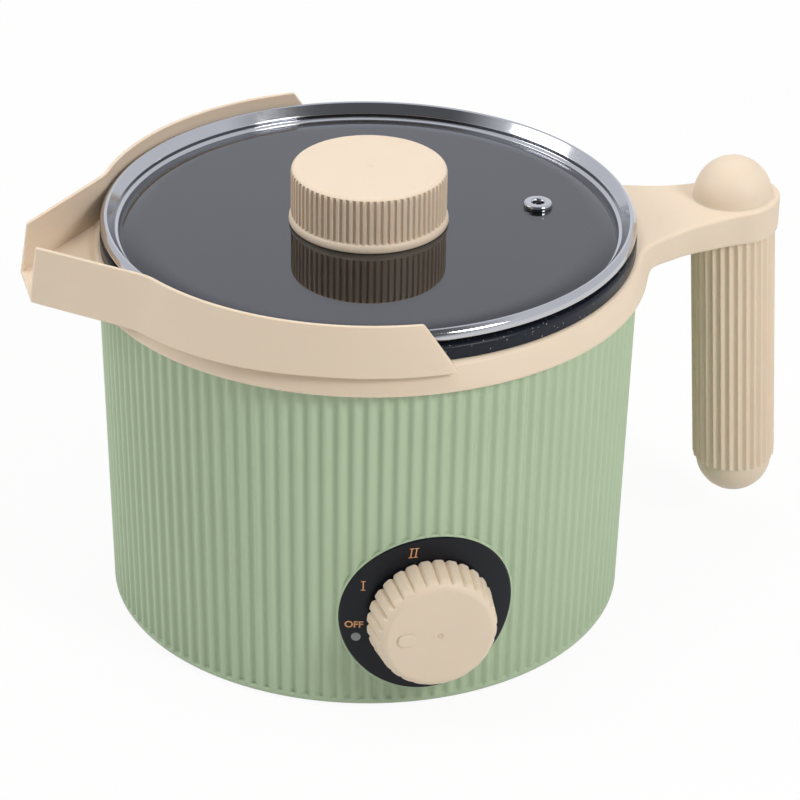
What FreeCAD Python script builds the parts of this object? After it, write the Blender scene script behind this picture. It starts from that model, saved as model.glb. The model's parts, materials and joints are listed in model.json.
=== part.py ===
import FreeCAD, Part
import math
import os

from FreeCAD import Placement, Rotation, Vector

# Electric wax melting pot. Millimetres, +Z up. The origin is on the pot's axis in the plane that the feet
# stand on. +X is the handle, -X the pouring spout, -Y the dial and +Y the power inlet.

# ---- driving dimensions: heights ----
foot_height = 1.0           # gap between the table and the shell's lower edge
shell_height = 120.0        # visible fluted height, up to the collar's lower edge
collar_height = 9.2
pot_rim_height = 5.0        # black rim standing on the collar
ledge_depth = 3.9           # step inside the pot's mouth that carries the lid
dial_height = 36.2          # dial axis above the table

# ---- driving dimensions: lid and pot ----
lid_radius = 90.2
lid_band_width = 4.2        # from the roll's outside to the glass channel's outside
lid_roll_tuck = 1.1         # the roll's lower edge tucks in by this much
lid_roll_rise = 1.7         # its widest place above that edge
lid_flange_width = 4.6      # steel flange under the glass edge
lid_lip_width = 1.6         # steel lip on the glass edge
lid_sheet = 0.6             # steel sheet thickness
lid_air_gap = 1.1           # dark gap between steel roll and pot rim
glass_thickness = 3.0
glass_drop = 2.4            # the turned-down shoulder of the glass
shoulder_width = 10.5
bead_rise = 3.6             # crest of the steel roll above the flat glass
vent_inset = 27.7           # from the glass channel in to the vent's centre
vent_angle = -3.5
vent_radius = 4.9
pot_wall = 1.5
pot_rim_round = 1.2
pot_corner = 12.0
ledge_width = 3.5

# ---- driving dimensions: shell and collar ----
shell_wall = 2.2
shell_taper = 2.6           # the crest radius shrinks by this much from top to bottom
flute_count = 120
flute_depth = 0.9
flute_groove_share = 0.22   # narrow valleys between round ribs
base_band = 1.8             # plain edge under the flutes
collar_step = 3.6           # collar outside beyond the shell's crests
collar_taper = 3.0
collar_wall = 2.4
collar_lip_wall = 1.2
collar_lip_depth = 5.6      # the lip reaches this far down inside the shell
collar_round = 1.4

# ---- driving dimensions: spout ----
spout_reach = 113.9         # tip of the upper edge from the pot's axis
spout_tip_width = 20.0
spout_overhang = 2.7        # the tip's lower edge reaches this much further
spout_tip_drop = 1.5        # the tip's lower edge lies this much below the wings'
spout_tip_sink = 0.9        # its upper edge lies this much below the wings'
spout_edge_wall = 1.3
spout_foot_wall = 2.0
spout_floor = 1.5
wing_foot_wall = 4.8        # thick enough to reach the collar
wing_height = 18.3          # at the root
wing_rise = 5.3             # wing's lower edge above the collar's, at the root
wing_proud = 3.57           # wing outside beyond the collar
wing_step = 2.0             # the lower edge lies this much higher round the front
wing_step_start = 40.0      # and starts to sink at this distance from the dial's side
wing_root_angle = 154.8     # where the straight wall leaves the curved wing, from +X
wing_end_angle = 93.1       # upper corner of the wing's end
wing_end_lead = 7.07        # its lower corner runs on by this angle

# ---- driving dimensions: handle ----
handle_reach = 129.6
handle_tilt = 3.8           # degrees, the grip's foot leans away from the pot
arm_rise = 2.6              # arm's top at the dome above the collar's top
arm_end_radius = 16.3
arm_waist_width = 30.8
arm_waist_length = 10.5     # from the grip's axis to the waist
arm_flare_width = 39.2
arm_flare_length = 27.0
arm_root_width = 62.0
arm_sway = 2.0              # waist, flare and root stand this much nearer the dial
arm_round = 0.8
dome_radius = 13.5
grip_radius = 14.6
grip_length = 92.4
grip_flute_count = 30
grip_flute_depth = 1.0
bolt_radius = 2.5

# ---- driving dimensions: dial ----
dial_lead = 0.65            # degrees that the dial stands nearer the spout than -Y
plate_radius = 29.2
plate_proud = 0.6
knob_gap = 0.9              # air between plate and dial knob
dial_knob_radius = 21.4
dial_knob_height = 13.0
dial_knob_draft = 1.6
dial_face_radius = 18.1
dial_shoulder = 3.0         # height of the knob's round shoulder below its face
dial_flute_count = 28
dial_flute_depth = 1.0
dial_wall = 2.6
switch_size = 22.0
switch_depth = 13.0
bushing_radius = 4.5
shaft_radius = 3.0
lens_side = 23.9            # beside the dial's axis, towards the spout
lens_drop = 7.6             # below that axis
lens_radius = 1.8

# ---- driving dimensions: lid knob ----
lid_knob_radius = 26.2
lid_knob_height = 19.4
knob_flange_height = 2.6
knob_flange_proud = 0.6
lid_flute_count = 72
lid_flute_depth = 0.8
lid_knob_round = 2.4
knob_wall = 2.6
knob_boss_radius = 5.0

# ---- driving dimensions: base, inlet, heater ----
cover_thickness = 2.4
boss_radius = 4.2
boss_height = 12.0
screw_radius = 1.5
foot_radius = 7.0
foot_circle = 66.0
inlet_width = 27.4
inlet_height = 19.8
inlet_depth = 17.4
inlet_level = 31.0
inlet_wall = 1.6
inlet_screw_spacing = 40.0
flange_thickness = 2.2
pad_width = 54.0
pad_height = 27.0
pad_wall = 2.4
heater_radius = 64.0
heater_thickness = 5.5
element_circle = 46.0
element_radius = 3.3
element_start = -55.0
element_sweep = 290.0
element_tail = 2.5
terminal_length = 5.0
shield_radius = 60.0
shield_drop = 13.0
shield_screw_gap = 1.2      # between the element and the shield's screws
wire_radius = 1.1

# ---- clearances ----
seat_gap = 0.15             # between pieces that sit in one another without moving
lid_gap = 0.4               # between lid and what it drops into
turn_gap = 0.08             # dial shaft in its bushing
bay_gap = 2.8               # above the switch, below the pot

# ---- derived radii, from the lid outwards ----
channel_radius = lid_radius - lid_band_width
pot_rim_radius = lid_radius                     # flush with the steel roll
vent_distance = channel_radius - vent_inset
neck_inner = channel_radius + lid_gap
neck_outer = neck_inner + lid_sheet * 2
pot_inner = neck_inner - ledge_width
pot_outer = pot_inner + pot_wall
collar_bore = neck_outer + seat_gap
collar_lip_outer = collar_bore + collar_lip_wall
shell_top_radius = collar_lip_outer + seat_gap + shell_wall
shell_base_radius = shell_top_radius - shell_taper
collar_foot_radius = shell_top_radius + collar_step
collar_top_radius = collar_foot_radius - collar_taper

# ---- derived heights ----
collar_z = foot_height + shell_height
deck_z = collar_z + collar_height
shell_top = deck_z - collar_wall
pot_rim_top = deck_z + pot_rim_height
ledge_z = pot_rim_top - ledge_depth
glass_edge_top = ledge_z + lid_sheet + glass_thickness
glass_top = glass_edge_top + glass_drop
glass_bottom = glass_top - glass_thickness
band_foot = pot_rim_top + lid_air_gap
bead_top = glass_top + bead_rise
pot_floor_z = dial_height + switch_size / 2 + bay_gap
wing_foot = collar_z + wing_rise
wing_top = wing_foot + wing_height
arm_top = deck_z + arm_rise
plate_inset = 0.7           # flat pockets in the plate, front and back


# ---------------------------------------------------------------- helpers

def edges_of(items):
    """Edges through a closed list of points. An item with two points is an arc: a point on it, then its end."""
    first = items[0]
    here = first
    edges = []
    for item in items[1:] + [first]:
        if isinstance(item[0], tuple):
            through, there = item
            edges.append(Part.Arc(Vector(*here), Vector(*through), Vector(*there)).toShape())
        else:
            there = item
            edges.append(Part.makeLine(Vector(*here), Vector(*there)))
        here = there
    return edges


def profile(items):
    """Face in the XZ plane from (radius, height) points and arcs."""
    def lift(item):
        if isinstance(item[0], tuple):
            return tuple(lift(point) for point in item)
        return (item[0], 0, item[1])
    return Part.Face(Part.Wire(edges_of([lift(item) for item in items])))


def turned(items, centre=Vector(0, 0, 0), axis=Vector(0, 0, 1)):
    """Solid of revolution from a profile, moved so that its axis lies along the given one."""
    solid = profile(items).revolve(Vector(0, 0, 0), Vector(0, 0, 1), 360)
    solid.Placement = Placement(centre, Rotation(Vector(0, 0, 1), axis))
    return solid


def rounded(corner, before, after, size):
    """Start of an arc and the arc item that rounds a corner, by a length along both of its sides."""
    corner = Vector(corner[0], corner[1], 0)
    back = Vector(before[0], before[1], 0).normalize()
    ahead = Vector(after[0], after[1], 0).normalize()
    half = math.acos(back.dot(ahead)) / 2
    start = corner + back * size
    end = corner + ahead * size
    through = corner + (back + ahead).normalize() * size * (1 / math.cos(half) - math.tan(half))
    return [(start.x, start.y), ((through.x, through.y), (end.x, end.y))]


def box(x, y, z):
    """Box from three (low, high) pairs."""
    return Part.makeBox(x[1] - x[0], y[1] - y[0], z[1] - z[0], Vector(x[0], y[0], z[0]))


def rod(radius, start, end):
    """Cylinder between two points."""
    start, end = Vector(*start), Vector(*end)
    return Part.makeCylinder(radius, (end - start).Length, start, end - start)


def polar(radius, angle, z=0.0):
    """Point from its distance to the pot's axis, its angle from +X in degrees and its height."""
    turn = math.radians(angle)
    return Vector(radius * math.cos(turn), radius * math.sin(turn), z)


def fluted_wire(radius, z, depth, count, groove_share, shoulder_share):
    """Closed wire of crest arcs and groove arcs, which meet at a share of the depth below the crests."""
    pitch = 360.0 / count
    shoulder = depth * shoulder_share
    half = pitch * (1 - groove_share) / 2
    edges = []
    for index in range(count):
        middle = index * pitch
        meet = polar(radius - shoulder, middle - half, z)
        leave = polar(radius - shoulder, middle + half, z)
        following = polar(radius - shoulder, middle + pitch - half, z)
        edges.append(Part.Arc(meet, polar(radius, middle, z), leave).toShape())
        edges.append(Part.Arc(leave, polar(radius - depth, middle + pitch / 2, z), following).toShape())
    return Part.Wire(edges)


def fluted_solid(sections, count, groove_share, shoulder_share):
    """Solid through fluted wires, each given as (radius, height, flute depth)."""
    wires = [fluted_wire(*section, count, groove_share, shoulder_share) for section in sections]
    return Part.makeLoft(wires, True, True)


def around(shape, count, start=0.0):
    """Copies of a shape turned about the pot's axis."""
    copies = []
    for index in range(count):
        copy = shape.copy()
        copy.rotate(Vector(0, 0, 0), Vector(0, 0, 1), start + index * 360.0 / count)
        copies.append(copy)
    return copies


def mirrored(shape):
    """The shape's twin across the XZ plane."""
    return shape.mirror(Vector(0, 0, 0), Vector(0, 1, 0))


def pipe(points, radius, bend):
    """Round bar along straight runs joined by tangent arcs."""
    points = [Vector(*point) for point in points]
    edges = []
    here = points[0]
    for before, corner, after in zip(points, points[1:], points[2:]):
        back = (before - corner).normalize()
        ahead = (after - corner).normalize()
        half_turn = math.acos(max(-1.0, min(1.0, back.dot(ahead)))) / 2
        reach = bend / math.tan(half_turn)
        start = corner + back * reach
        end = corner + ahead * reach
        middle = (back + ahead).normalize()
        through = corner + middle * (bend / math.sin(half_turn) - bend)
        edges.append(Part.makeLine(here, start))
        edges.append(Part.Arc(start, through, end).toShape())
        here = end
    edges.append(Part.makeLine(here, points[-1]))
    section = Part.Wire(Part.makeCircle(radius, points[0], points[1] - points[0]))
    return Part.Wire(edges).makePipeShell([section], True, True)


def shell_crest(z):
    """Radius of the shell's flute crests at a height."""
    return shell_base_radius + shell_taper * (z - foot_height) / (shell_top - foot_height)


def shell_cone(low, high, offset):
    """Plain cone that follows the crests at an offset."""
    return Part.makeCone(shell_crest(low) + offset, shell_crest(high) + offset, high - low, Vector(0, 0, low))


def collar_radius(z):
    """Outside of the collar at a height."""
    return collar_foot_radius - collar_taper * (z - collar_z) / collar_height


def handle_frame():
    """Placement of the handle: its origin on the arm's top at the grip's axis, tilted with the grip."""
    return Placement(Vector(handle_reach, 0, arm_top), Rotation(Vector(0, 1, 0), -handle_tilt))


def placed(shape, placement):
    """Copy of a shape at a placement."""
    copy = shape.copy()
    copy.Placement = placement.multiply(copy.Placement)
    return copy


# ---------------------------------------------------------------- shell and collar

def inlet_face():
    """Y of the pad's outer face, just clear of the flutes."""
    return shell_crest(inlet_level + pad_height / 2) + 0.9


def boss_places():
    """Centres of the four bosses that take the base screws."""
    distance = shell_crest(foot_height) - shell_wall - boss_radius - 3.0
    return [polar(distance, 45 + 90 * index) for index in range(4)]


def boss_foot():
    """Height at which the bosses meet the base cover."""
    return foot_height + 0.6 + cover_thickness


def outer_shell():
    """Fluted body with a plain lower band, bosses and a flat pad for the inlet."""
    flutes_foot = foot_height + base_band
    walls = fluted_solid([(shell_crest(flutes_foot), flutes_foot, flute_depth),
                          (shell_crest(shell_top), shell_top, flute_depth)],
                         flute_count, flute_groove_share, 0.75)
    band = shell_cone(foot_height, flutes_foot, 0)
    pad = box((-pad_width / 2, pad_width / 2), (shell_base_radius - 20, inlet_face()),
              (inlet_level - pad_height / 2, inlet_level + pad_height / 2))
    body = walls.fuse([band, pad]).cut(shell_cone(foot_height - 1, shell_top + 1, -shell_wall))
    inner_pad = box((pad_wall - pad_width / 2, pad_width / 2 - pad_wall),
                    (shell_base_radius - 24, inlet_face() - pad_wall),
                    (inlet_level - pad_height / 2 + pad_wall, inlet_level + pad_height / 2 - pad_wall))
    mouth = box((-inlet_width / 2 - seat_gap, inlet_width / 2 + seat_gap), (0, inlet_face() + 5),
                (inlet_level - inlet_height / 2 - seat_gap, inlet_level + inlet_height / 2 + seat_gap))
    dial_hole = turned_to_dial(through_shell(plate_radius + seat_gap))
    screw_holes = [rod(screw_radius, (side * inlet_screw_spacing / 2, inlet_face() - 6, inlet_level),
                       (side * inlet_screw_spacing / 2, inlet_face() + 6, inlet_level)) for side in (-1, 1)]
    body = body.cut([inner_pad, mouth, dial_hole] + screw_holes)
    bosses = []
    pilots = []
    for place in boss_places():
        foot = Vector(place.x, place.y, boss_foot())
        outward = Vector(place.x, place.y, 0).normalize()
        bosses.append(Part.makeCylinder(boss_radius, boss_height, foot))
        web_end = outward * (shell_crest(boss_foot()) - shell_wall / 2)
        web_length = (web_end - Vector(place.x, place.y, 0)).Length
        web = box((0, web_length), (-1.2, 1.2), (boss_foot(), boss_foot() + boss_height))
        turn = math.degrees(math.atan2(place.y, place.x))
        web.Placement = Placement(Vector(place.x, place.y, 0), Rotation(Vector(0, 0, 1), turn))
        bosses.append(web)
        pilots.append(Part.makeCylinder(screw_radius, boss_height - 1.5, foot))
    return body.fuse(bosses).cut(pilots)


def collar_ring():
    """Collar section: skirt over the shell, deck under the pot's rim and a lip inside the shell."""
    lip_foot = shell_top - collar_lip_depth
    top = rounded((collar_top_radius, deck_z), (collar_taper, -collar_height), (-1, 0), collar_round)
    return turned([(shell_crest(collar_z) + seat_gap, collar_z), (collar_foot_radius, collar_z)] + top +
                  [(collar_bore, deck_z), (collar_bore, lip_foot), (collar_lip_outer, lip_foot),
                   (collar_lip_outer, shell_top), (shell_crest(shell_top) + seat_gap, shell_top)])


def arm_outline():
    """Plan of the arm: a round end, a waist and a flare that runs into the collar."""
    sides = []
    roots = []
    for side in (1, -1):
        end = Vector(handle_reach, side * arm_end_radius, 0)
        waist = Vector(handle_reach - arm_waist_length, side * arm_waist_width / 2 - arm_sway, 0)
        flare = Vector(handle_reach - arm_flare_length, side * arm_flare_width / 2 - arm_sway, 0)
        root_y = side * arm_root_width / 2 - arm_sway
        root = Vector(math.sqrt(collar_top_radius ** 2 - root_y ** 2), root_y, 0)
        curve = Part.BSplineCurve()
        curve.interpolate(Points=[end, waist, flare, root], InitialTangent=Vector(-1, 0, 0),
                          FinalTangent=Vector(-abs(root.y), side * root.x, 0).normalize())
        sides.append(curve.toShape())
        roots.append(root)
    tip = Part.Arc(Vector(handle_reach, -arm_end_radius, 0), Vector(handle_reach + arm_end_radius, 0, 0),
                   Vector(handle_reach, arm_end_radius, 0)).toShape()
    return Part.Wire(Part.__sortEdges__(sides + [Part.makeLine(*roots), tip]))


def on_arm_top(edge):
    """Whether an edge lies in the arm's slanted top, along its free sides."""
    to_arm = handle_frame().inverse()
    points = [to_arm.multVec(edge.valueAt(end)) for end in edge.ParameterRange]
    free = edge.CenterOfMass.x > collar_foot_radius
    return free and all(abs(point.z) < 0.001 for point in points)


def collar():
    """Collar and handle arm in one moulding. The arm's top rises with the handle's tilt."""
    plan = arm_outline()
    plan.translate(Vector(0, 0, collar_z))
    arm = Part.Face(plan).extrude(Vector(0, 0, 4 * collar_height))
    above = box((-3 * arm_end_radius - arm_waist_length, 3 * arm_end_radius), (-arm_root_width, arm_root_width),
                (0, 4 * collar_height))
    arm = arm.cut(placed(above, handle_frame()))
    arm = arm.makeFillet(arm_round, [edge for edge in arm.Edges if on_arm_top(edge)])
    bolt_hole = placed(Part.makeCylinder(bolt_radius + seat_gap, 4 * collar_height,
                                         Vector(0, 0, -2 * collar_height)), handle_frame())
    below = shell_cone(collar_z - 1, shell_top, seat_gap)
    above_shell = Part.makeCylinder(pot_rim_radius + 2 * seat_gap, collar_height, Vector(0, 0, shell_top))
    return collar_ring().fuse(arm.cut([below, above_shell, bolt_hole])).removeSplitter()


# ---------------------------------------------------------------- spout

def wall_section(angle):
    """Leaning section of the wing in a plane through the pot's axis."""
    corners = [(wing_foot_radius(), wing_foot), (wing_top_radius(), wing_top),
               (wing_top_radius() - spout_edge_wall, wing_top), (wing_foot_radius() - wing_foot_wall, wing_foot)]
    points = [polar(radius, angle, z) for radius, z in corners]
    return Part.makePolygon(points + [points[0]])


def tip_section():
    """The same section at the spout's tip, on the +Y side."""
    half = spout_tip_width / 2
    flare = spout_overhang / 2
    root = polar(wing_top_radius(), wing_root_angle)
    run = Vector(root.x + spout_reach, root.y - half, 0).normalize()
    low = wing_foot - spout_tip_drop
    high = wing_top - spout_tip_sink
    corners = [(-spout_reach - spout_overhang, half + flare, low), (-spout_reach, half, high),
               (-spout_reach, half - spout_edge_wall / run.x, high),
               (-spout_reach - spout_overhang, half + flare - spout_foot_wall / run.x, low)]
    return Part.makePolygon([Vector(*corner) for corner in corners + corners[:1]])


def wing_top_radius():
    """Outside of the wing's upper edge, clear of the lid."""
    return lid_radius + lid_gap + spout_edge_wall


def wing_foot_radius():
    """Outside of the wing's lower edge, proud of the collar."""
    return collar_radius(wing_foot) + wing_proud


def wing():
    """Curved wing on the +Y side, cut off at a slant. Its lower edge sinks towards the spout."""
    last = wing_end_angle - wing_end_lead - 4
    band = Part.Face(wall_section(last)).revolve(Vector(0, 0, 0), Vector(0, 0, 1), wing_root_angle - last)
    upper = polar(wing_top_radius(), wing_end_angle, wing_top)
    lower = polar(wing_foot_radius(), wing_end_angle - wing_end_lead, wing_foot)
    along = (upper - lower).normalize()
    outward = Vector(0, 1, 0)
    normal = outward.cross(along).normalize()
    size = 3 * wing_height
    cutter = box((0, size), (-size, size), (-size, size))
    cutter.Placement = Placement(lower, Rotation(normal, outward, along, "XYZ"))
    root = polar(wing_foot_radius(), wing_root_angle)
    front = wing_foot + wing_step
    below = [Vector(root.x, 0, wing_foot), Vector(-wing_step_start, 0, front), Vector(size, 0, front),
             Vector(size, 0, wing_foot - 1), Vector(root.x, 0, wing_foot - 1)]
    skirt = Part.Face(Part.makePolygon(below + below[:1])).extrude(Vector(0, 2 * wing_top_radius(), 0))
    return band.cut([cutter, skirt])


def straight_wall():
    """Wall from the wing's root to the tip, on the +Y side."""
    return Part.makeLoft([wall_section(wing_root_angle), tip_section()], True, True)


def spout_floor_plate():
    """Sloping floor between the straight walls."""
    root = polar(wing_foot_radius() - 0.8, wing_root_angle)
    half = spout_tip_width / 2 + spout_overhang / 2 - 0.5
    tip = -spout_reach - spout_overhang + 0.1
    back = root.x + 25
    plan = Part.Face(Part.makePolygon([Vector(tip, -half, 0), Vector(tip, half, 0), Vector(root.x, root.y, 0),
                                       Vector(back, root.y, 0), Vector(back, -root.y, 0),
                                       Vector(root.x, -root.y, 0), Vector(tip, -half, 0)]))
    prism = plan.extrude(Vector(0, 0, 3 * wing_height))
    prism.translate(Vector(0, 0, wing_foot - wing_height))
    low = wing_foot - spout_tip_drop
    side = [Vector(tip - 1, -root.y - 5, low), Vector(root.x, -root.y - 5, wing_foot),
            Vector(back + 1, -root.y - 5, wing_foot), Vector(back + 1, -root.y - 5, wing_foot + spout_floor),
            Vector(root.x, -root.y - 5, wing_foot + spout_floor), Vector(tip - 1, -root.y - 5, low + spout_floor)]
    slab = Part.Face(Part.makePolygon(side + side[:1])).extrude(Vector(0, 2 * root.y + 10, 0))
    return prism.common(slab)


def pour_spout():
    """Trough and wings in one moulding that fits round the collar's outside."""
    half = [wing(), straight_wall()]
    body = half[0].fuse([half[1], mirrored(half[0]), mirrored(half[1]), spout_floor_plate()])
    low = wing_foot - 2 * spout_floor
    span = deck_z - low
    collar_body = Part.makeCone(collar_radius(low), collar_radius(deck_z), span, Vector(0, 0, low))
    return body.cut(collar_body).removeSplitter()


# ---------------------------------------------------------------- pot

def inner_pot():
    """Thin pot with a rounded floor, a ledge for the lid and a thick rim on the collar."""
    share = 1 - math.sqrt(0.5)
    inner_corner = pot_corner - pot_wall
    neck_foot = ledge_z - 2 * lid_sheet
    outer = [(0, pot_floor_z), (pot_outer - pot_corner, pot_floor_z),
             ((pot_outer - pot_corner * share, pot_floor_z + pot_corner * share),
              (pot_outer, pot_floor_z + pot_corner)),
             (pot_outer, neck_foot - 3.0), (neck_outer, neck_foot), (neck_outer, deck_z)]
    rim = [(pot_rim_radius, deck_z)] + rounded((pot_rim_radius, pot_rim_top), (0, -1), (-1, 0), pot_rim_round)
    mouth = rounded((neck_inner, pot_rim_top), (1, 0), (0, -1), lid_sheet)
    inner = [(neck_inner, ledge_z), (pot_inner, ledge_z), (pot_inner, pot_floor_z + pot_corner),
             ((pot_inner - inner_corner * share, pot_floor_z + pot_wall + inner_corner * share),
              (pot_inner - inner_corner, pot_floor_z + pot_wall)), (0, pot_floor_z + pot_wall)]
    return turned(outer + rim + mouth + inner)


# ---------------------------------------------------------------- handle

def grip_foot():
    """Height of the fluted part's lower end in the handle's frame."""
    return -(arm_top - collar_z) - grip_length


def below_arm():
    """Space above the arm's underside, to cut the grip's slanted top flat."""
    size = 3 * grip_radius
    return box((handle_reach - size, handle_reach + size), (-size, size), (collar_z, collar_z + size))


def grip_sleeve():
    """Fluted grip with a bore for the bolt and a socket for the end cap."""
    body = fluted_solid([(grip_radius, grip_foot(), grip_flute_depth), (grip_radius, 2.0, grip_flute_depth)],
                        grip_flute_count, 0.5, 0.5)
    bore = rod(bolt_radius + seat_gap, (0, 0, grip_foot() - 1), (0, 0, 5))
    socket = rod(spigot_radius() + seat_gap, (0, 0, grip_foot() - 1), (0, 0, grip_foot() + spigot_length()))
    return placed(body.cut([bore, socket]), handle_frame()).cut(below_arm())


def spigot_radius():
    """Radius of the end cap's spigot, inside the grip's wall."""
    return grip_radius - grip_flute_depth - 4.0


def spigot_length():
    """How far the spigot reaches into the grip."""
    return 1.6 * spigot_radius()


def grip_end_cap():
    """Half ball under the grip, with a spigot that holds the nut."""
    radius = grip_radius - grip_flute_depth
    middle = radius * math.sqrt(0.5)
    spigot = spigot_radius()
    length = spigot_length() - seat_gap
    ball = turned([(0, -radius), ((middle, -middle), (radius, 0)), (spigot, 0), (spigot, length), (0, length)])
    nut_pocket = hexagon(nut_width() + 2 * seat_gap, length - nut_thickness() - 1.0, length + 1)
    bolt_way = rod(bolt_radius + seat_gap, (0, 0, length / 3), (0, 0, length + 1))
    cap = ball.cut([nut_pocket, bolt_way])
    cap.translate(Vector(0, 0, grip_foot()))
    return placed(cap, handle_frame())


def nut_width():
    """Across the flats of the nut on the handle bolt."""
    return 3.2 * bolt_radius


def nut_thickness():
    """Thickness of the nut on the handle bolt."""
    return 1.6 * bolt_radius


def hexagon(width, low, high):
    """Hexagonal prism about the Z axis from its width across the flats."""
    corner = width / math.sqrt(3)
    points = [polar(corner, 60 * index, low) for index in range(6)]
    return Part.Face(Part.makePolygon(points + points[:1])).extrude(Vector(0, 0, high - low))


def handle_nut():
    """Hexagon nut in the end cap."""
    low = grip_foot() + spigot_length() - seat_gap - nut_thickness() - 1.0
    nut = hexagon(nut_width(), low, low + nut_thickness())
    return placed(nut.cut(rod(bolt_radius + 0.02, (0, 0, low - 1), (0, 0, low + 9))), handle_frame())


def handle_bolt():
    """Bolt with a button head on the arm, under the dome, down to the nut."""
    head = 1.8 * bolt_radius
    low = grip_foot() + spigot_length() - seat_gap - nut_thickness() - 2.0
    bolt = turned([(0, low), (bolt_radius, low), (bolt_radius, 0), (head, 0),
                   (head, bolt_radius * 0.8), (head - 1.2, bolt_radius * 1.4), (0, bolt_radius * 1.4)])
    return placed(bolt, handle_frame())


def dome_cap():
    """Half ball on the arm, hollow over the bolt's head."""
    middle = dome_radius * math.sqrt(0.5)
    room = 2.2 * bolt_radius
    height = 2.0 * bolt_radius
    dome = turned([(room, 0), (dome_radius, 0), ((middle, middle), (0, dome_radius)), (0, height),
                   (room, height)])
    return placed(dome, handle_frame())


# ---------------------------------------------------------------- lid

def glass_curve(height):
    """Upper or lower skin of the glass shoulder, from the flat down to the edge."""
    edge = channel_radius - lid_sheet - seat_gap
    start = edge - shoulder_width
    curve = Part.BSplineCurve()
    points = [Vector(start, 0, height), Vector(start + 0.38 * shoulder_width, 0, height - 0.25 * glass_drop),
              Vector(start + 0.70 * shoulder_width, 0, height - 0.80 * glass_drop),
              Vector(edge, 0, height - glass_drop)]
    curve.interpolate(Points=points, InitialTangent=Vector(1, 0, 0), FinalTangent=Vector(1, 0, 0))
    return curve.toShape(), points[0], points[-1]


def lid_glass():
    """Flat glass with a turned-down shoulder, drilled for the knob's screw and the vent."""
    upper, upper_start, upper_end = glass_curve(glass_top)
    lower, lower_start, lower_end = glass_curve(glass_bottom)
    edges = [Part.makeLine(Vector(0, 0, glass_top), upper_start), upper, Part.makeLine(upper_end, lower_end),
             lower, Part.makeLine(lower_start, Vector(0, 0, glass_bottom)),
             Part.makeLine(Vector(0, 0, glass_bottom), Vector(0, 0, glass_top))]
    wire = Part.Wire(Part.__sortEdges__(edges))
    disc = Part.Face(wire).revolve(Vector(0, 0, 0), Vector(0, 0, 1), 360)
    knob_hole = rod(knob_screw_radius() + 1.0, (0, 0, glass_bottom - 1), (0, 0, glass_top + 1))
    vent = vent_place()
    vent_hole = rod(grommet_tube() + seat_gap, (vent.x, vent.y, glass_bottom - 1), (vent.x, vent.y, glass_top + 1))
    return disc.cut([knob_hole, vent_hole])


def knob_screw_radius():
    """Thread radius of the screw that holds the lid knob."""
    return 2.0


def vent_place():
    """Centre of the vent eyelet."""
    return polar(vent_distance, vent_angle)


def grommet_tube():
    """Outside radius of the eyelet's tube through the glass."""
    return 0.62 * vent_radius


def vent_grommet():
    """Steel eyelet clamped over both faces of the glass."""
    bore = 0.41 * vent_radius
    tube = grommet_tube()
    crown = glass_top + 1.9
    skin = vent_radius - 1.3
    return turned([(bore, glass_bottom - 0.8), (vent_radius - 0.6, glass_bottom - 0.8),
                   (vent_radius - 0.6, glass_bottom), (tube, glass_bottom), (tube, glass_top),
                   (vent_radius, glass_top), (vent_radius, glass_top + 0.9),
                   ((vent_radius - 0.4, crown - 0.4), (skin, crown)), (bore + 0.5, crown), (bore, crown - 0.5)],
                  vent_place())


def lid_rim():
    """Rolled steel ring: hollow outer roll, inner slope, lip on the glass and the flange under its edge."""
    inner = channel_radius - lid_sheet
    lip = inner - lid_lip_width
    lip_top = glass_edge_top + lid_sheet
    crest = channel_radius + lid_band_width * 0.3
    widest = band_foot + lid_roll_rise
    tuck = lid_radius - lid_roll_tuck
    slope = (channel_radius - lid_sheet * 1.3, glass_top)
    return turned([
        (channel_radius - lid_flange_width, ledge_z), (channel_radius - lid_sheet / 2, ledge_z),
        (channel_radius, ledge_z + lid_sheet / 2), (channel_radius, glass_top),
        ((crest - 0.8, bead_top - 1.5 * lid_sheet), (crest, bead_top - lid_sheet)),
        ((lid_radius - 1.9 * lid_sheet, bead_top - 2.1 * lid_sheet), (lid_radius - lid_sheet, widest)),
        (tuck - lid_sheet, band_foot + lid_sheet / 2), (tuck, band_foot),
        ((lid_radius - 0.2, widest - 1.0), (lid_radius, widest)),
        ((lid_radius - 0.8, bead_top - 0.9), (crest, bead_top)),
        ((crest - 0.9, bead_top - 0.7), slope),
        (lip + lid_sheet, lip_top), (lip, lip_top - lid_sheet / 2), (lip, glass_edge_top + seat_gap),
        (inner, glass_edge_top + seat_gap), (inner, ledge_z + lid_sheet),
        (channel_radius - lid_flange_width, ledge_z + lid_sheet)])


def lid_knob():
    """Grooved knob on a plain flange, hollow below, with a screw boss. The grooves fade over its round edge."""
    top = glass_top + lid_knob_height
    flange_top = glass_top + knob_flange_height
    flange = lid_knob_radius + knob_flange_proud
    edge = lid_knob_round
    grooved = fluted_solid([(lid_knob_radius, flange_top - 0.5, lid_flute_depth),
                            (lid_knob_radius, top - edge, lid_flute_depth),
                            (lid_knob_radius - 0.3 * edge, top - 0.3 * edge, lid_flute_depth / 2),
                            (lid_knob_radius - edge, top, lid_flute_depth / 8)], lid_flute_count, 0.45, 0.08)
    foot = turned([(0, glass_top), (flange - 0.4, glass_top), (flange, glass_top + 0.4),
                   (flange, flange_top - 0.5), (flange - 0.5, flange_top), (0, flange_top)])
    inside = lid_knob_radius - knob_wall
    cavity = turned([(knob_boss_radius, glass_top - 1), (inside, glass_top - 1), (inside - 0.6, top - knob_wall),
                     (knob_boss_radius + 0.6, top - knob_wall)])
    thread = rod(knob_screw_radius() + 0.02, (0, 0, glass_top - 1), (0, 0, glass_top + 0.6 * lid_knob_height))
    return grooved.fuse(foot).cut([cavity, thread])


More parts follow.
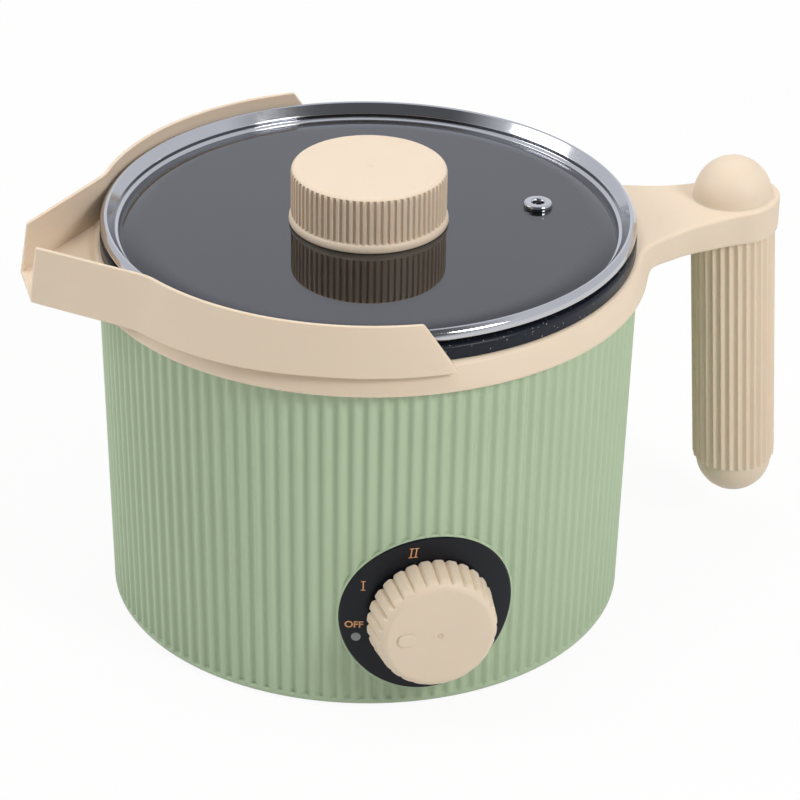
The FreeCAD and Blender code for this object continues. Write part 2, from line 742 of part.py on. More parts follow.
def knob_washer():
    """Steel cup washer under the glass."""
    high = glass_bottom - gasket_thickness()
    return turned([(knob_screw_radius() + 0.2, high - 1.2), (9.0, high - 1.2), (10.0, high - 0.4), (10.0, high),
                   (knob_screw_radius() + 0.2, high)])


def gasket_thickness():
    """Rubber between washer and glass."""
    return 1.2


def knob_gasket():
    """Rubber ring between washer and glass."""
    low = glass_bottom - gasket_thickness()
    return turned([(knob_screw_radius() + 0.2, low), (11.0, low), (11.0, glass_bottom),
                   (knob_screw_radius() + 0.2, glass_bottom)])


def knob_screw():
    """Pan head screw from below the glass up into the knob's boss."""
    seat = glass_bottom - gasket_thickness() - 1.2
    radius = knob_screw_radius()
    return turned([(0, seat - 2.4), (2.4, seat - 2.4), ((3.6, seat - 1.9), (4.0, seat - 0.8)), (4.0, seat),
                   (radius, seat), (radius, glass_top + 0.5 * lid_knob_height), (0, glass_top + 0.5 * lid_knob_height)])


# ---------------------------------------------------------------- dial
# Dial pieces are drawn on -Y and then turned by the dial's lead.

def turned_to_dial(shape):
    """The shape at the dial's real place round the pot."""
    turned_shape = shape.copy()
    turned_shape.rotate(Vector(0, 0, 0), Vector(0, 0, 1), -dial_lead)
    return turned_shape


def through_shell(radius):
    """Rod along the dial's axis, right through the shell's wall."""
    return rod(radius, (0, -1.2 * shell_top_radius, dial_height), (0, -0.6 * shell_base_radius, dial_height))


def at_dial(x, y, z):
    """A point drawn on -Y, at the dial's real place."""
    return tuple(Rotation(Vector(0, 0, 1), -dial_lead).multVec(Vector(x, y, z)))


def plate_front():
    """Y distance of the plate's outer face on the dial's axis."""
    return shell_crest(dial_height) + plate_proud


def nut_seat():
    """Y distance of the flat that the switch nut sits on."""
    return plate_front() - plate_inset


def switch_face():
    """Y distance of the plate's flat back, where the switch bears."""
    return shell_crest(dial_height) - shell_wall - 0.5


def lens_place(radius):
    """Point on the lens's axis at a distance from the pot's axis."""
    level = dial_height - lens_drop
    aside = math.degrees(math.asin(lens_side / (shell_crest(level) + plate_proud)))
    return polar(radius, -90 - aside, level)


def dial_plate():
    """Round plate bent to the shell's cone, with flats and holes for the switch and the lens."""
    low, high = dial_height - plate_radius - 1, dial_height + plate_radius + 1
    band = shell_cone(low, high, plate_proud).cut(shell_cone(low - 1, high + 1, -shell_wall))
    disc = band.common(through_shell(plate_radius))
    front_flat = rod(2 * bushing_radius, (0, -nut_seat(), dial_height), (0, -plate_front() - 5, dial_height))
    back_flat = rod(switch_size * 0.56, (0, -switch_face(), dial_height), (0, -0.6 * switch_face(), dial_height))
    lens_hole = rod(lens_radius + seat_gap, lens_place(0.6 * shell_base_radius), lens_place(1.2 * shell_top_radius))
    return disc.cut([front_flat, back_flat, through_shell(bushing_radius + seat_gap), lens_hole])


def indicator_lens():
    """Small lens with a domed face, flush in the plate."""
    face = shell_crest(dial_height - lens_drop) + plate_proud + 0.1
    back = face - shell_wall - 1.4
    outward = lens_place(1) - lens_place(0)
    length = face - back
    return turned([(0, 0), (lens_radius, 0), (lens_radius, length - 0.3), (lens_radius - 0.3, length), (0, length)],
                  lens_place(back), outward)


def indicator_lamp():
    """Lamp in its holder behind the lens."""
    front = shell_crest(dial_height - lens_drop) + plate_proud - shell_wall - 1.5
    return rod(lens_radius + 0.9, tuple(lens_place(front - 9)), tuple(lens_place(front)))


def rotary_switch():
    """Switch body with its threaded bushing through the plate and a bore for the shaft."""
    face = -switch_face()
    half = switch_size / 2
    body = box((-half, half), (face + 1.0, face + switch_depth), (dial_height - half, dial_height + half))
    seat = rod(switch_size * 0.46, (0, face, dial_height), (0, face + 1.0, dial_height))
    bushing = rod(bushing_radius, (0, bushing_end(), dial_height), (0, face + 1.0, dial_height))
    bore = rod(shaft_radius + turn_gap, (0, bushing_end() - 1, dial_height), (0, shaft_back() + 0.5, dial_height))
    tabs = [box((x - 2.4, x + 2.4), (face + switch_depth, face + switch_depth + 5),
                (dial_height - 0.4 - 5, dial_height + 0.4 - 5)) for x in (-6, 0, 6)]
    return body.fuse([seat, bushing] + tabs).cut(bore)


def bushing_end():
    """Y of the bushing's outer end, past the nut."""
    return -nut_seat() - 3.2


def shaft_back():
    """Y of the shaft's inner end, inside the switch."""
    return -switch_face() + 6.0


def knob_back():
    """Y of the dial knob's back edge, clear of the plate."""
    return -plate_front() - knob_gap


def switch_nut():
    """Hexagon nut on the bushing, against the plate's front flat."""
    nut = hexagon(3.1 * bushing_radius, 0, 2.0).cut(rod(bushing_radius + 0.02, (0, 0, -1), (0, 0, 9)))
    nut.Placement = Placement(Vector(0, -nut_seat(), dial_height), Rotation(Vector(0, 0, 1), Vector(0, -1, 0)))
    return nut


def shaft_front():
    """Y of the shaft's outer end, inside the knob's hub."""
    return knob_back() - dial_knob_height + dial_wall + 2.2


def dial_shaft():
    """Round shaft with a flat where it enters the knob."""
    shaft = rod(shaft_radius, (0, shaft_back(), dial_height), (0, shaft_front(), dial_height))
    flat = box((-9, 9), (shaft_front() - 1, bushing_end() - 0.3), (dial_height + 0.6 * shaft_radius, dial_height + 9))
    return shaft.cut(flat)


def dial_knob():
    """Tapered fluted knob with a flat face, a raised pointer and a hollow back. Pointer at OFF, facing -X."""
    top = dial_knob_height
    base, crown = dial_knob_radius, dial_knob_radius - dial_knob_draft
    shoulder = crown - 0.4 * (crown - dial_face_radius)
    knob = fluted_solid([(base, 0, dial_flute_depth), (crown, top - dial_shoulder, dial_flute_depth),
                         (shoulder, top - 0.3 * dial_shoulder, dial_flute_depth * 0.7),
                         (dial_face_radius, top, dial_flute_depth * 0.1)], dial_flute_count, 0.3, 0.15)
    pointer = Part.makeCylinder(2.2, 1.0, Vector(-10.4, 0, top - 0.5))
    pointer_end = Part.makeCylinder(2.2, 1.0, Vector(-12.6, 0, top - 0.5))
    pointer_bar = box((-12.6, -10.4), (-2.2, 2.2), (top - 0.5, top + 0.5))
    dimple = Part.makeSphere(0.9, Vector(0, 0, top + 0.4))
    hub = 2.1 * shaft_radius
    hub_foot = -(bushing_end() - 0.7) + knob_back()
    cavity = turned([(0, -1), (base - 3.6, -1), (crown - 3.4, top - dial_wall), (hub, top - dial_wall),
                     (hub, hub_foot), (0, hub_foot)])
    shaft_room = rod(shaft_radius + 0.02, (0, 0, hub_foot - 1), (0, 0, knob_back() - shaft_front() + 0.2))
    flat_key = box((-9, 9), (0.6 * shaft_radius + 0.03, 9), (-1, top))
    bore = shaft_room.cut(flat_key)
    knob = knob.fuse([pointer, pointer_end, pointer_bar]).cut([dimple, cavity, bore])
    facing = Rotation(Vector(1, 0, 0), Vector(0, 0, 1), Vector(0, -1, 0), "XYZ")
    knob.Placement = Placement(Vector(0, knob_back(), dial_height), facing)
    return knob


# ---------------------------------------------------------------- inlet

def power_inlet():
    """Flanged inlet with a recess for the plug and holes for its pins."""
    face = inlet_face() + flange_thickness
    half_w, half_h = inlet_width / 2, inlet_height / 2
    ends = [rod(inlet_height * 0.42, (side * inlet_screw_spacing / 2, inlet_face(), inlet_level),
                (side * inlet_screw_spacing / 2, face, inlet_level)) for side in (-1, 1)]
    flange = box((-inlet_screw_spacing / 2, inlet_screw_spacing / 2), (inlet_face(), face),
                 (inlet_level - inlet_height * 0.42, inlet_level + inlet_height * 0.42))
    body = box((-half_w, half_w), (face - inlet_depth, face), (inlet_level - half_h, inlet_level + half_h))
    recess = box((inlet_wall - half_w, half_w - inlet_wall), (face - inlet_depth + 3.0, face + 1),
                 (inlet_level - half_h + inlet_wall, inlet_level + half_h - inlet_wall))
    pin_holes = [pin.cut(pin_room()) for pin in pin_blanks(seat_gap / 3)]
    screw_holes = [inlet_screw_blank(side, seat_gap) for side in (-1, 1)]
    return body.fuse(ends + [flange]).cut([recess] + pin_holes + screw_holes)


def pin_room():
    """The recess in front of the inlet's back wall, where the pins stand free."""
    floor = inlet_face() + flange_thickness - inlet_depth + 3.0
    return box((-50, 50), (floor, floor + 60), (inlet_level - 50, inlet_level + 50))


def pin_blanks(grow):
    """The three flat pins, each with its tab behind the inlet."""
    back = inlet_face() + flange_thickness - inlet_depth
    front = inlet_face() + flange_thickness - 3.0
    blanks = []
    for x, z in ((-7.0, -1.8), (0.0, 2.2), (7.0, -1.8)):
        blanks.append(box((x - 1.0 - grow, x + 1.0 + grow), (back - 6, front),
                          (inlet_level + z - 2.0 - grow, inlet_level + z + 2.0 + grow)))
    return blanks


def inlet_pins():
    """All three pins as one set."""
    return Part.makeCompound(pin_blanks(0))


def inlet_screw_blank(side, grow):
    """Countersunk screw along Y in the flange's end."""
    face = inlet_face() + flange_thickness
    radius = screw_radius - 0.03 + grow
    head = 2.0 * screw_radius + grow
    length = flange_thickness + pad_wall + 1.5
    return turned([(0, 0), (head, 0), (radius, 1.7), (radius, length), (0, length)],
                  Vector(side * inlet_screw_spacing / 2, face, inlet_level), Vector(0, -1, 0))


def inlet_screws():
    """The two screws that hold the inlet."""
    return Part.makeCompound([inlet_screw_blank(side, 0) for side in (-1, 1)])


# ---------------------------------------------------------------- base

def cover_foot():
    """Height of the cover's lower face."""
    return foot_height + 0.6


def foot_places():
    """Centres of the four feet."""
    return [polar(foot_circle, 90 * index) for index in range(4)]


def base_cover():
    """Disc in the shell's foot with vent slots, foot holes and sunk seats for the screws."""
    radius = shell_crest(foot_height) - shell_wall - 2 * seat_gap
    high = cover_foot() + cover_thickness
    disc = Part.makeCylinder(radius, cover_thickness, Vector(0, 0, cover_foot()))
    slot = box((18, 40), (-1.5, 1.5), (cover_foot() - 1, high + 1))
    slot = slot.fuse([rod(1.5, (x, 0, cover_foot() - 1), (x, 0, high + 1)) for x in (18, 40)])
    cuts = around(slot, 12)
    for place in foot_places():
        cuts.append(rod(foot_stem() + seat_gap, (place.x, place.y, cover_foot() - 1), (place.x, place.y, high + 1)))
    for place in boss_places():
        cuts.append(rod(screw_radius + seat_gap, (place.x, place.y, 0), (place.x, place.y, high + 1)))
        cuts.append(rod(2 * screw_radius + 0.4, (place.x, place.y, 0), (place.x, place.y, cover_foot() + 1.4)))
    return disc.cut(cuts)


def foot_stem():
    """Radius of a foot's stem through the cover."""
    return 0.4 * foot_radius


def rubber_feet():
    """Four push-in feet."""
    high = cover_foot() + cover_thickness
    feet = []
    for place in foot_places():
        feet.append(turned([(0, 0), (foot_radius - 0.5, 0), (foot_radius, 0.5), (foot_radius, cover_foot()),
                            (foot_stem(), cover_foot()), (foot_stem(), high), (foot_stem() + 0.8, high),
                            (foot_stem() * 0.7, high + 2.4), (0, high + 2.4)], place))
    return Part.makeCompound(feet)


def base_screws():
    """Four pan head screws from the cover into the bosses."""
    screws = []
    for place in boss_places():
        seat = cover_foot() + 1.4
        head = 2 * screw_radius
        screws.append(turned([(0, cover_foot() + 0.1), (head - 0.5, cover_foot() + 0.1), (head, cover_foot() + 0.5),
                              (head, seat), (screw_radius - 0.03, seat), (screw_radius - 0.03, seat + boss_height - 2.5),
                              (0, seat + boss_height - 2.5)], Vector(place.x, place.y, 0)))
    return Part.makeCompound(screws)


# ---------------------------------------------------------------- heater

def heater_foot():
    """Height of the heater plate's lower face."""
    return pot_floor_z - heater_thickness


def element_level():
    """Height of the element's tube axis, half let into the plate."""
    return heater_foot() - 0.2


def element_path():
    """Open ring with both ends bent down, and the direction at its start."""
    level = element_level()
    bend = 2.0 * element_radius
    ends = []
    for angle, side in ((element_start, -1), (element_start + element_sweep, 1)):
        along = polar(side, angle + 90)
        end = polar(element_circle, angle, level)
        corner = Vector(0, 0, -bend)
        share = math.sqrt(0.5)
        through = end + along * (bend * share) + corner * (1 - share)
        turned_down = end + along * bend + corner
        ends.append((end, through, turned_down, turned_down - Vector(0, 0, element_tail)))
    (first, first_mid, first_low, first_tail), (last, last_mid, last_low, last_tail) = ends
    far_side = polar(element_circle, element_start + element_sweep / 2, level)
    return [Part.makeLine(first_tail, first_low), Part.Arc(first_low, first_mid, first).toShape(),
            Part.Arc(first, far_side, last).toShape(), Part.Arc(last, last_mid, last_low).toShape(),
            Part.makeLine(last_low, last_tail)]


def element_tails():
    """Lower ends of the element's tube."""
    path = element_path()
    return [path[0].Vertexes[0].Point, path[-1].Vertexes[-1].Point]


def element_tube(radius):
    """Tube along the element's path."""
    section = Part.Wire(Part.makeCircle(radius, element_tails()[0], Vector(0, 0, 1)))
    return Part.Wire(element_path()).makePipeShell([section], True, True)


def heater_plate():
    """Aluminium disc under the pot with a groove for the element and tapped holes for the shield."""
    disc = turned([(0, heater_foot()), (heater_radius - 1, heater_foot()), (heater_radius, heater_foot() + 1),
                   (heater_radius, pot_floor_z), (0, pot_floor_z)])
    holes = [rod(screw_radius + 0.03, (p.x, p.y, heater_foot() - 1), (p.x, p.y, heater_foot() + 3.5))
             for p in shield_places()]
    clamp_hole = rod(screw_radius, (24, 0, heater_foot() - 1), (24, 0, heater_foot() + 3))
    return disc.cut([element_tube(element_radius + 0.05), clamp_hole] + holes)


def heating_element():
    """Tubular element with its terminal pins."""
    pins = [rod(1.0, (end.x, end.y, end.z - terminal_length), (end.x, end.y, end.z + 1)) for end in element_tails()]
    return element_tube(element_radius).fuse(pins)


def thermostat():
    """Round snap thermostat on the plate's centre, with two blades."""
    high = heater_foot()
    body = turned([(0, high - 9), (8, high - 9), (8, high - 2.5), (9.2, high - 2.5), (9.2, high), (0, high)])
    blades = [box((x - 0.4, x + 0.4), (-3, 3), (high - 17, high - 9)) for x in (-4.5, 4.5)]
    return body.fuse(blades)


def fuse_level():
    """Height of the cut-out capsule's axis."""
    return heater_foot() - 2.2


def thermal_fuse():
    """Cut-out capsule with its leads, lying along Y against the plate."""
    capsule = rod(2.0, (30, -6, fuse_level()), (30, 6, fuse_level()))
    leads = rod(0.6, (30, -12, fuse_level()), (30, 12, fuse_level()))
    return capsule.fuse(leads)


def fuse_clamp():
    """Steel strap over the capsule, with its screw stub in the plate."""
    low = fuse_level() - 2.2
    strap = box((20, 35), (-4, 4), (low - 0.8, low))
    legs = [box((20, 20.8), (-4, 4), (low, heater_foot() - 0.05)), box((34.2, 35), (-4, 4), (low, heater_foot() - 0.05))]
    screw = rod(screw_radius - 0.03, (24, 0, low - 0.2), (24, 0, heater_foot() + 2.6))
    head = rod(2 * screw_radius, (24, 0, low - 2.4), (24, 0, low - 0.8))
    return strap.fuse(legs + [screw, head])


def shield_places():
    """The three screws that carry the shield."""
    distance = element_circle + element_radius + 2 * screw_radius + shield_screw_gap
    return [polar(distance, 90 + 120 * index) for index in range(3)]


def heat_shield():
    """Shallow steel dish below the heater with openings for the thermostat and the element's ends."""
    low = heater_foot() - shield_drop
    inner = shield_radius - 1.4
    dish = turned([(14, low), (shield_radius - 2, low), (shield_radius, low + 2), (shield_radius, low + 6),
                   (shield_radius - 0.8, low + 6), (shield_radius - 0.8, low + 2.2), (inner - 1, low + 0.8),
                   (14, low + 0.8)])
    holes = [rod(element_radius + 3, (end.x, end.y, low - 2), (end.x, end.y, low + 3)) for end in element_tails()]
    holes += [rod(screw_radius + seat_gap, (p.x, p.y, low - 2), (p.x, p.y, low + 3)) for p in shield_places()]
    return dish.cut(holes)


def shield_screws():
    """Three shouldered screws: head under the shield, spacer above it, thread in the plate."""
    low = heater_foot() - shield_drop
    head = 2 * screw_radius
    screws = []
    for place in shield_places():
        screws.append(turned([(0, low - 1.8), (head, low - 1.8), (head, low), (screw_radius, low),
                              (screw_radius, low + 0.8), (head, low + 0.8), (head, heater_foot()),
                              (screw_radius, heater_foot()), (screw_radius, heater_foot() + 3), (0, heater_foot() + 3)],
                             Vector(place.x, place.y, 0)))
    return Part.makeCompound(screws)


def wiring():
    """Supply wires in the bay: inlet to switch, inlet to element and switch to element."""
    pin_back = inlet_face() + flange_thickness - inlet_depth - 6
    floor = cover_foot() + cover_thickness + 8.5
    switch_back = -switch_face() + switch_depth + 5
    tab = dial_height - 5
    right, left = element_tails()
    low_end = right.z - terminal_length
    live = [(-7, pin_back, inlet_level - 1.8), (-7, pin_back - 12, inlet_level - 1.8), (-7, pin_back - 24, floor),
            at_dial(-6, switch_back + 21, floor), at_dial(-6, switch_back + 6, tab), at_dial(-6, switch_back, tab)]
    neutral = [(7, pin_back, inlet_level - 1.8), (7, pin_back - 12, inlet_level - 1.8), (9, pin_back - 24, floor),
               (right.x, right.y + 20, floor), (right.x, right.y, floor), (right.x, right.y, low_end)]
    feed = [at_dial(0, switch_back, tab), at_dial(0, switch_back + 6, tab), (left.x + 12, left.y, floor),
            (left.x, left.y, floor), (left.x, left.y, low_end)]
    return Part.makeCompound([pipe(live, wire_radius, 4.0), pipe(neutral, wire_radius, 4.0),
                              pipe(feed, wire_radius, 4.0)])


# ---------------------------------------------------------------- all pieces

pieces = {
    "outer_shell": outer_shell,
    "collar": collar,
    "pour_spout": pour_spout,
    "inner_pot": inner_pot,
    "grip_sleeve": grip_sleeve,
    "grip_end_cap": grip_end_cap,
    "dome_cap": dome_cap,
    "handle_bolt": handle_bolt,
    "handle_nut": handle_nut,
    "dial_plate": dial_plate,
    "indicator_lens": indicator_lens,
    "indicator_lamp": indicator_lamp,
    "rotary_switch": rotary_switch,
    "switch_nut": switch_nut,
    "power_inlet": power_inlet,
    "inlet_pins": inlet_pins,
    "inlet_screws": inlet_screws,
    "base_cover": base_cover,
    "rubber_feet": rubber_feet,
    "base_screws": base_screws,
    "heater_plate": heater_plate,
    "heating_element": heating_element,
    "thermostat": thermostat,
    "thermal_fuse": thermal_fuse,
    "fuse_clamp": fuse_clamp,
    "heat_shield": heat_shield,
    "shield_screws": shield_screws,
    "wiring": wiring,
    "lid_glass": lid_glass,
    "lid_rim": lid_rim,
    "lid_knob": lid_knob,
    "knob_screw": knob_screw,
    "knob_washer": knob_washer,
    "knob_gasket": knob_gasket,
    "vent_grommet": vent_grommet,
    "dial_knob": dial_knob,
    "dial_shaft": dial_shaft,
}

dial_group = ("dial_plate", "indicator_lens", "indicator_lamp", "rotary_switch", "switch_nut", "dial_knob",
              "dial_shaft")

os.makedirs("parts", exist_ok=True)
for name, make in pieces.items():
    shape = turned_to_dial(make()) if name in dial_group else make()
    if not shape.isValid():
        raise ValueError(name + " is not a valid shape")
    shape.exportStep("parts/" + name + ".step")
    print(name, "solids", len(shape.Solids), "volume", round(shape.Volume))
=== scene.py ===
import json
import math

import bmesh
import bpy
from bpy.props import FloatProperty, FloatVectorProperty, IntProperty, PointerProperty
from mathutils import Matrix, Vector
from mathutils.geometry import delaunay_2d_cdt


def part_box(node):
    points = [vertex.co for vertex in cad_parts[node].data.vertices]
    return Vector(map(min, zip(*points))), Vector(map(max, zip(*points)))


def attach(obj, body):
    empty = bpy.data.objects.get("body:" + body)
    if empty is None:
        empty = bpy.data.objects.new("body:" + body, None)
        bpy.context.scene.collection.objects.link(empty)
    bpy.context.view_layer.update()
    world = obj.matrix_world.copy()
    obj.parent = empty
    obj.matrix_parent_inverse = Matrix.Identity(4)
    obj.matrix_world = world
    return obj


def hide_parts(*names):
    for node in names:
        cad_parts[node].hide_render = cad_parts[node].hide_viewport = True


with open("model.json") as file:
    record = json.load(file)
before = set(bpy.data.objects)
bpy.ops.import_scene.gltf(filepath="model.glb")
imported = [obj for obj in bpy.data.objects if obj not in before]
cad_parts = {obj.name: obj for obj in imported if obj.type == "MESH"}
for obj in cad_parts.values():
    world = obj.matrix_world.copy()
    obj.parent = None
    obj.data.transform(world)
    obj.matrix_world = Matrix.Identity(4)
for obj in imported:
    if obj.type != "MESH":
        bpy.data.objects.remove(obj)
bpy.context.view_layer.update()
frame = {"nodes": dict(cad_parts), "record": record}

bl_info = {
    "name": "Candle wax melter",
    "version": (1, 0, 0),
    "blender": (4, 5, 0),
    "location": "3D View > Sidebar > Wax melter",
    "description": "Electric pouring pot for melting candle wax, piece by piece, over its engineering frame",
    "category": "Object",
}

MM = 0.001
SENSOR = 36.0  # width of the camera's sensor, in millimetres
CORNER_SHARE = 0.49  # most of an edge that the rounding of one corner may take
MERGE = 0.001 * MM  # points nearer than this are one point
PLAY = 0.15 * MM  # gap between pieces that slip into each other
INLET_FLANGE = 2.2 * MM  # thickness of the inlet's flange, which lies on the body's pad
DECK_WALL = 2.4 * MM  # thickness of the collar's deck
SCREW_HOLE = 3.0 * MM  # radius of the hole in the glass for the lid knob's screw


# ---------------------------------------------------------------- properties

def linear(code):
    """Linear colour of an sRGB hex value such as A8B99C."""
    channels = [int(code[start:start + 2], 16) / 255 for start in (0, 2, 4)]
    return tuple(c / 12.92 if c <= 0.04045 else ((c + 0.055) / 1.055) ** 2.4 for c in channels)


def length(name, default, description):
    """Length property in metres."""
    return FloatProperty(name=name, description=description, default=default, precision=5, unit="LENGTH",
                         subtype="DISTANCE")


def angle(name, degrees, description):
    """Angle property, given in degrees."""
    return FloatProperty(name=name, description=description, default=math.radians(degrees), unit="ROTATION",
                         subtype="ANGLE")


def count(name, default, description):
    """Whole number property."""
    return IntProperty(name=name, description=description, default=default, min=1)


def colour(name, code, description):
    """Colour property from an sRGB hex value."""
    return FloatVectorProperty(name=name, description=description, default=linear(code), size=3, min=0, max=1,
                               subtype="COLOR")


class BodySizes(bpy.types.PropertyGroup):
    """Fluted body."""
    foot: length("Foot gap", 1.0 * MM, "Height of the body's lower edge above the table")
    top: length("Top", 127.8 * MM, "Height of the body's hidden upper edge")
    base_radius: length("Base radius", 88.7 * MM, "Crest radius at the lower edge")
    taper: length("Taper", 2.6 * MM, "How much wider the crests stand at the upper edge")
    wall: length("Wall", 2.2 * MM, "Wall thickness")
    band: length("Band", 1.8 * MM, "Plain edge under the flutes")
    flutes: count("Flutes", 120, "Ribs round the body")
    flute_depth: length("Flute depth", 1.2 * MM, "Valley depth between the ribs")
    pad_width: length("Pad width", 54.0 * MM, "Width of the flat pad that carries the inlet")
    pad_height: length("Pad height", 27.0 * MM, "Height of the flat pad")
    inlet_width: length("Inlet width", 27.7 * MM, "Width of the inlet's opening")
    inlet_height: length("Inlet height", 20.1 * MM, "Height of the inlet's opening")


class CollarSizes(bpy.types.PropertyGroup):
    """Beige collar and the handle's arm."""
    low: length("Lower edge", 121.0 * MM, "Height of the collar's lower edge")
    deck: length("Deck", 130.2 * MM, "Height of the collar's top")
    foot_radius: length("Foot radius", 94.9 * MM, "Outside radius at the lower edge")
    top_radius: length("Top radius", 91.9 * MM, "Outside radius at the deck")
    bore: length("Bore", 88.0 * MM, "Inside radius round the pot's neck")
    edge: length("Edge", 1.4 * MM, "Rounding of the deck's outer edge")
    reach: length("Reach", 129.6 * MM, "Distance of the grip's axis from the pot's axis")
    arm_top: length("Arm top", 132.8 * MM, "Height of the arm's top at the grip's axis")
    tilt: angle("Tilt", 3.8, "How far the grip's foot leans away from the pot")
    end_radius: length("End radius", 16.3 * MM, "Radius of the arm's round end")
    waist: length("Waist", 30.8 * MM, "Width of the arm's waist")
    waist_back: length("Waist distance", 10.5 * MM, "Distance of the waist from the grip's axis")
    flare: length("Flare", 39.2 * MM, "Width of the arm where it starts to widen")
    flare_back: length("Flare distance", 27.0 * MM, "Distance of the flare from the grip's axis")
    root: length("Root", 62.0 * MM, "Width of the arm where it meets the collar")
    sway: length("Sway", 2.0 * MM, "How much nearer the dial the neck stands")


class SpoutSizes(bpy.types.PropertyGroup):
    """Pouring spout and its wings."""
    foot: length("Foot", 126.3 * MM, "Height of the wings' lower edge at the root")
    step: length("Step", 2.0 * MM, "How much higher the lower edge lies round the front")
    step_start: length("Step start", 40.0 * MM,
                       "Distance from the dial's side where the lower edge starts to sink")
    top: length("Top", 144.6 * MM, "Height of the wings' upper edge")
    foot_radius: length("Foot radius", 96.74 * MM, "Outside radius at the wings' lower edge")
    top_radius: length("Top radius", 91.9 * MM, "Outside radius at the wings' upper edge")
    edge_wall: length("Edge wall", 1.3 * MM, "Wall at the upper edge")
    foot_wall: length("Foot wall", 2.0 * MM, "Wall at the tip's lower edge")
    wing_wall: length("Wing wall", 4.8 * MM, "Wall at the wings' lower edge")
    floor: length("Floor", 1.5 * MM, "Floor thickness")
    reach: length("Reach", 113.9 * MM, "Distance of the tip's upper edge from the pot's axis")
    overhang: length("Overhang", 2.7 * MM, "How much further the tip's lower edge reaches")
    tip_width: length("Tip width", 20.0 * MM, "Width of the mouth at its upper edge")
    tip_drop: length("Tip drop", 1.5 * MM, "How much lower the mouth's lower edge lies")
    tip_sink: length("Tip sink", 0.9 * MM, "How much lower the mouth's upper edge lies")
    root_angle: angle("Root angle", 154.8, "Where the straight wall leaves the curved wing, from +X")
    end_angle: angle("End angle", 93.1, "Upper corner of the wing's end")
    end_lead: angle("End lead", 7.07, "How far the lower corner runs on")


class PotSizes(bpy.types.PropertyGroup):
    """Black inner pot."""
    floor: length("Floor", 50.0 * MM, "Height of the pot's underside")
    wall: length("Wall", 1.5 * MM, "Wall thickness")
    radius: length("Radius", 82.9 * MM, "Inside radius")
    corner: length("Corner", 12.0 * MM, "Outside rounding of the floor")
    neck: length("Neck", 86.4 * MM, "Inside radius above the ledge")
    neck_outer: length("Neck outside", 87.6 * MM, "Outside radius above the ledge")
    ledge: length("Ledge", 131.3 * MM, "Height of the ledge that carries the lid")
    rim_top: length("Rim top", 135.2 * MM, "Height of the rim")
    rim_radius: length("Rim radius", 90.2 * MM, "Outside radius of the rim")


class LidSizes(bpy.types.PropertyGroup):
    """Glass lid, its steel rim, knob and vent."""
    radius: length("Radius", 90.2 * MM, "Outside radius of the steel rim")
    channel: length("Channel", 86.0 * MM, "Outside radius of the channel that holds the glass")
    crest: length("Crest", 140.9 * MM, "Height of the steel rim")
    roll_foot: length("Roll foot", 136.3 * MM, "Height of the rim's lower outer edge")
    sheet: length("Sheet", 0.6 * MM, "Steel thickness")
    flange: length("Flange", 4.6 * MM, "Width of the steel flange under the glass")
    glass_top: length("Glass top", 137.3 * MM, "Height of the flat glass")
    glass: length("Glass", 3.0 * MM, "Glass thickness")
    glass_drop: length("Glass drop", 2.4 * MM, "Drop of the glass towards its edge")
    shoulder: length("Shoulder", 10.5 * MM, "Width of the turned-down edge")
    knob_radius: length("Knob radius", 26.2 * MM, "Radius over the knob's ribs")
    knob_height: length("Knob height", 19.4 * MM, "Height of the knob above the glass")
    knob_flange: length("Knob flange", 2.6 * MM, "Height of the plain ring at the knob's foot")
    knob_flutes: count("Knob grooves", 72, "Grooves round the knob")
    knob_groove: length("Knob groove", 0.9 * MM, "Depth of the knob's grooves")
    vent_distance: length("Vent distance", 58.3 * MM, "Distance of the vent from the pot's axis")
    vent_angle: angle("Vent angle", -3.5, "Angle of the vent from +X")
    vent_radius: length("Vent radius", 4.9 * MM, "Outside radius of the eyelet")


class GripSizes(bpy.types.PropertyGroup):
    """Hanging grip and the dome on the arm."""
    radius: length("Radius", 14.6 * MM, "Radius over the grip's ribs")
    length: length("Length", 92.4 * MM, "Length of the fluted part")
    flutes: count("Flutes", 30, "Ribs round the grip")
    flute_depth: length("Flute depth", 1.15 * MM, "Valley depth between the ribs")
    dome: length("Dome", 13.5 * MM, "Radius of the dome")


class DialSizes(bpy.types.PropertyGroup):
    """Heat dial, its plate and marks."""
    height: length("Height", 36.2 * MM, "Height of the dial's axis")
    lead: angle("Lead", 0.65, "How far the dial stands from -Y towards the spout")
    plate_radius: length("Plate radius", 29.2 * MM, "Radius of the black plate")
    plate_proud: length("Plate rise", 0.6 * MM, "How far the plate stands out of the crests")
    gap: length("Gap", 0.9 * MM, "Air between plate and knob")
    radius: length("Knob radius", 21.4 * MM, "Radius at the knob's foot")
    draft: length("Draft", 1.6 * MM, "How much narrower the knob's shoulder is")
    depth: length("Knob depth", 13.0 * MM, "From the knob's foot to its face")
    face: length("Face radius", 16.9 * MM, "Radius of the flat face")
    lobes: count("Lobes", 28, "Lobes round the knob")
    groove: length("Groove", 1.15 * MM, "Depth of the grooves between the lobes")


class Finishes(bpy.types.PropertyGroup):
    """Colours of the finishes."""
    sage: colour("Sage", "AEC0A1", "Body plastic")
    beige: colour("Beige", "E0CEB8", "Collar, spout, knob and handle plastic")
    plate: colour("Plate", "13151C", "Dial plate")
    print_ink: colour("Ink", "D9A06B", "Printed marks on the dial plate")
    lens: colour("Lens", "8D8F90", "Indicator lens")
    pot: colour("Pot", "1E222B", "Non-stick coat")
    glass: colour("Glass", "5C5E66", "Smoked glass")
    floor: colour("Floor", "E8E8E6", "Studio floor")


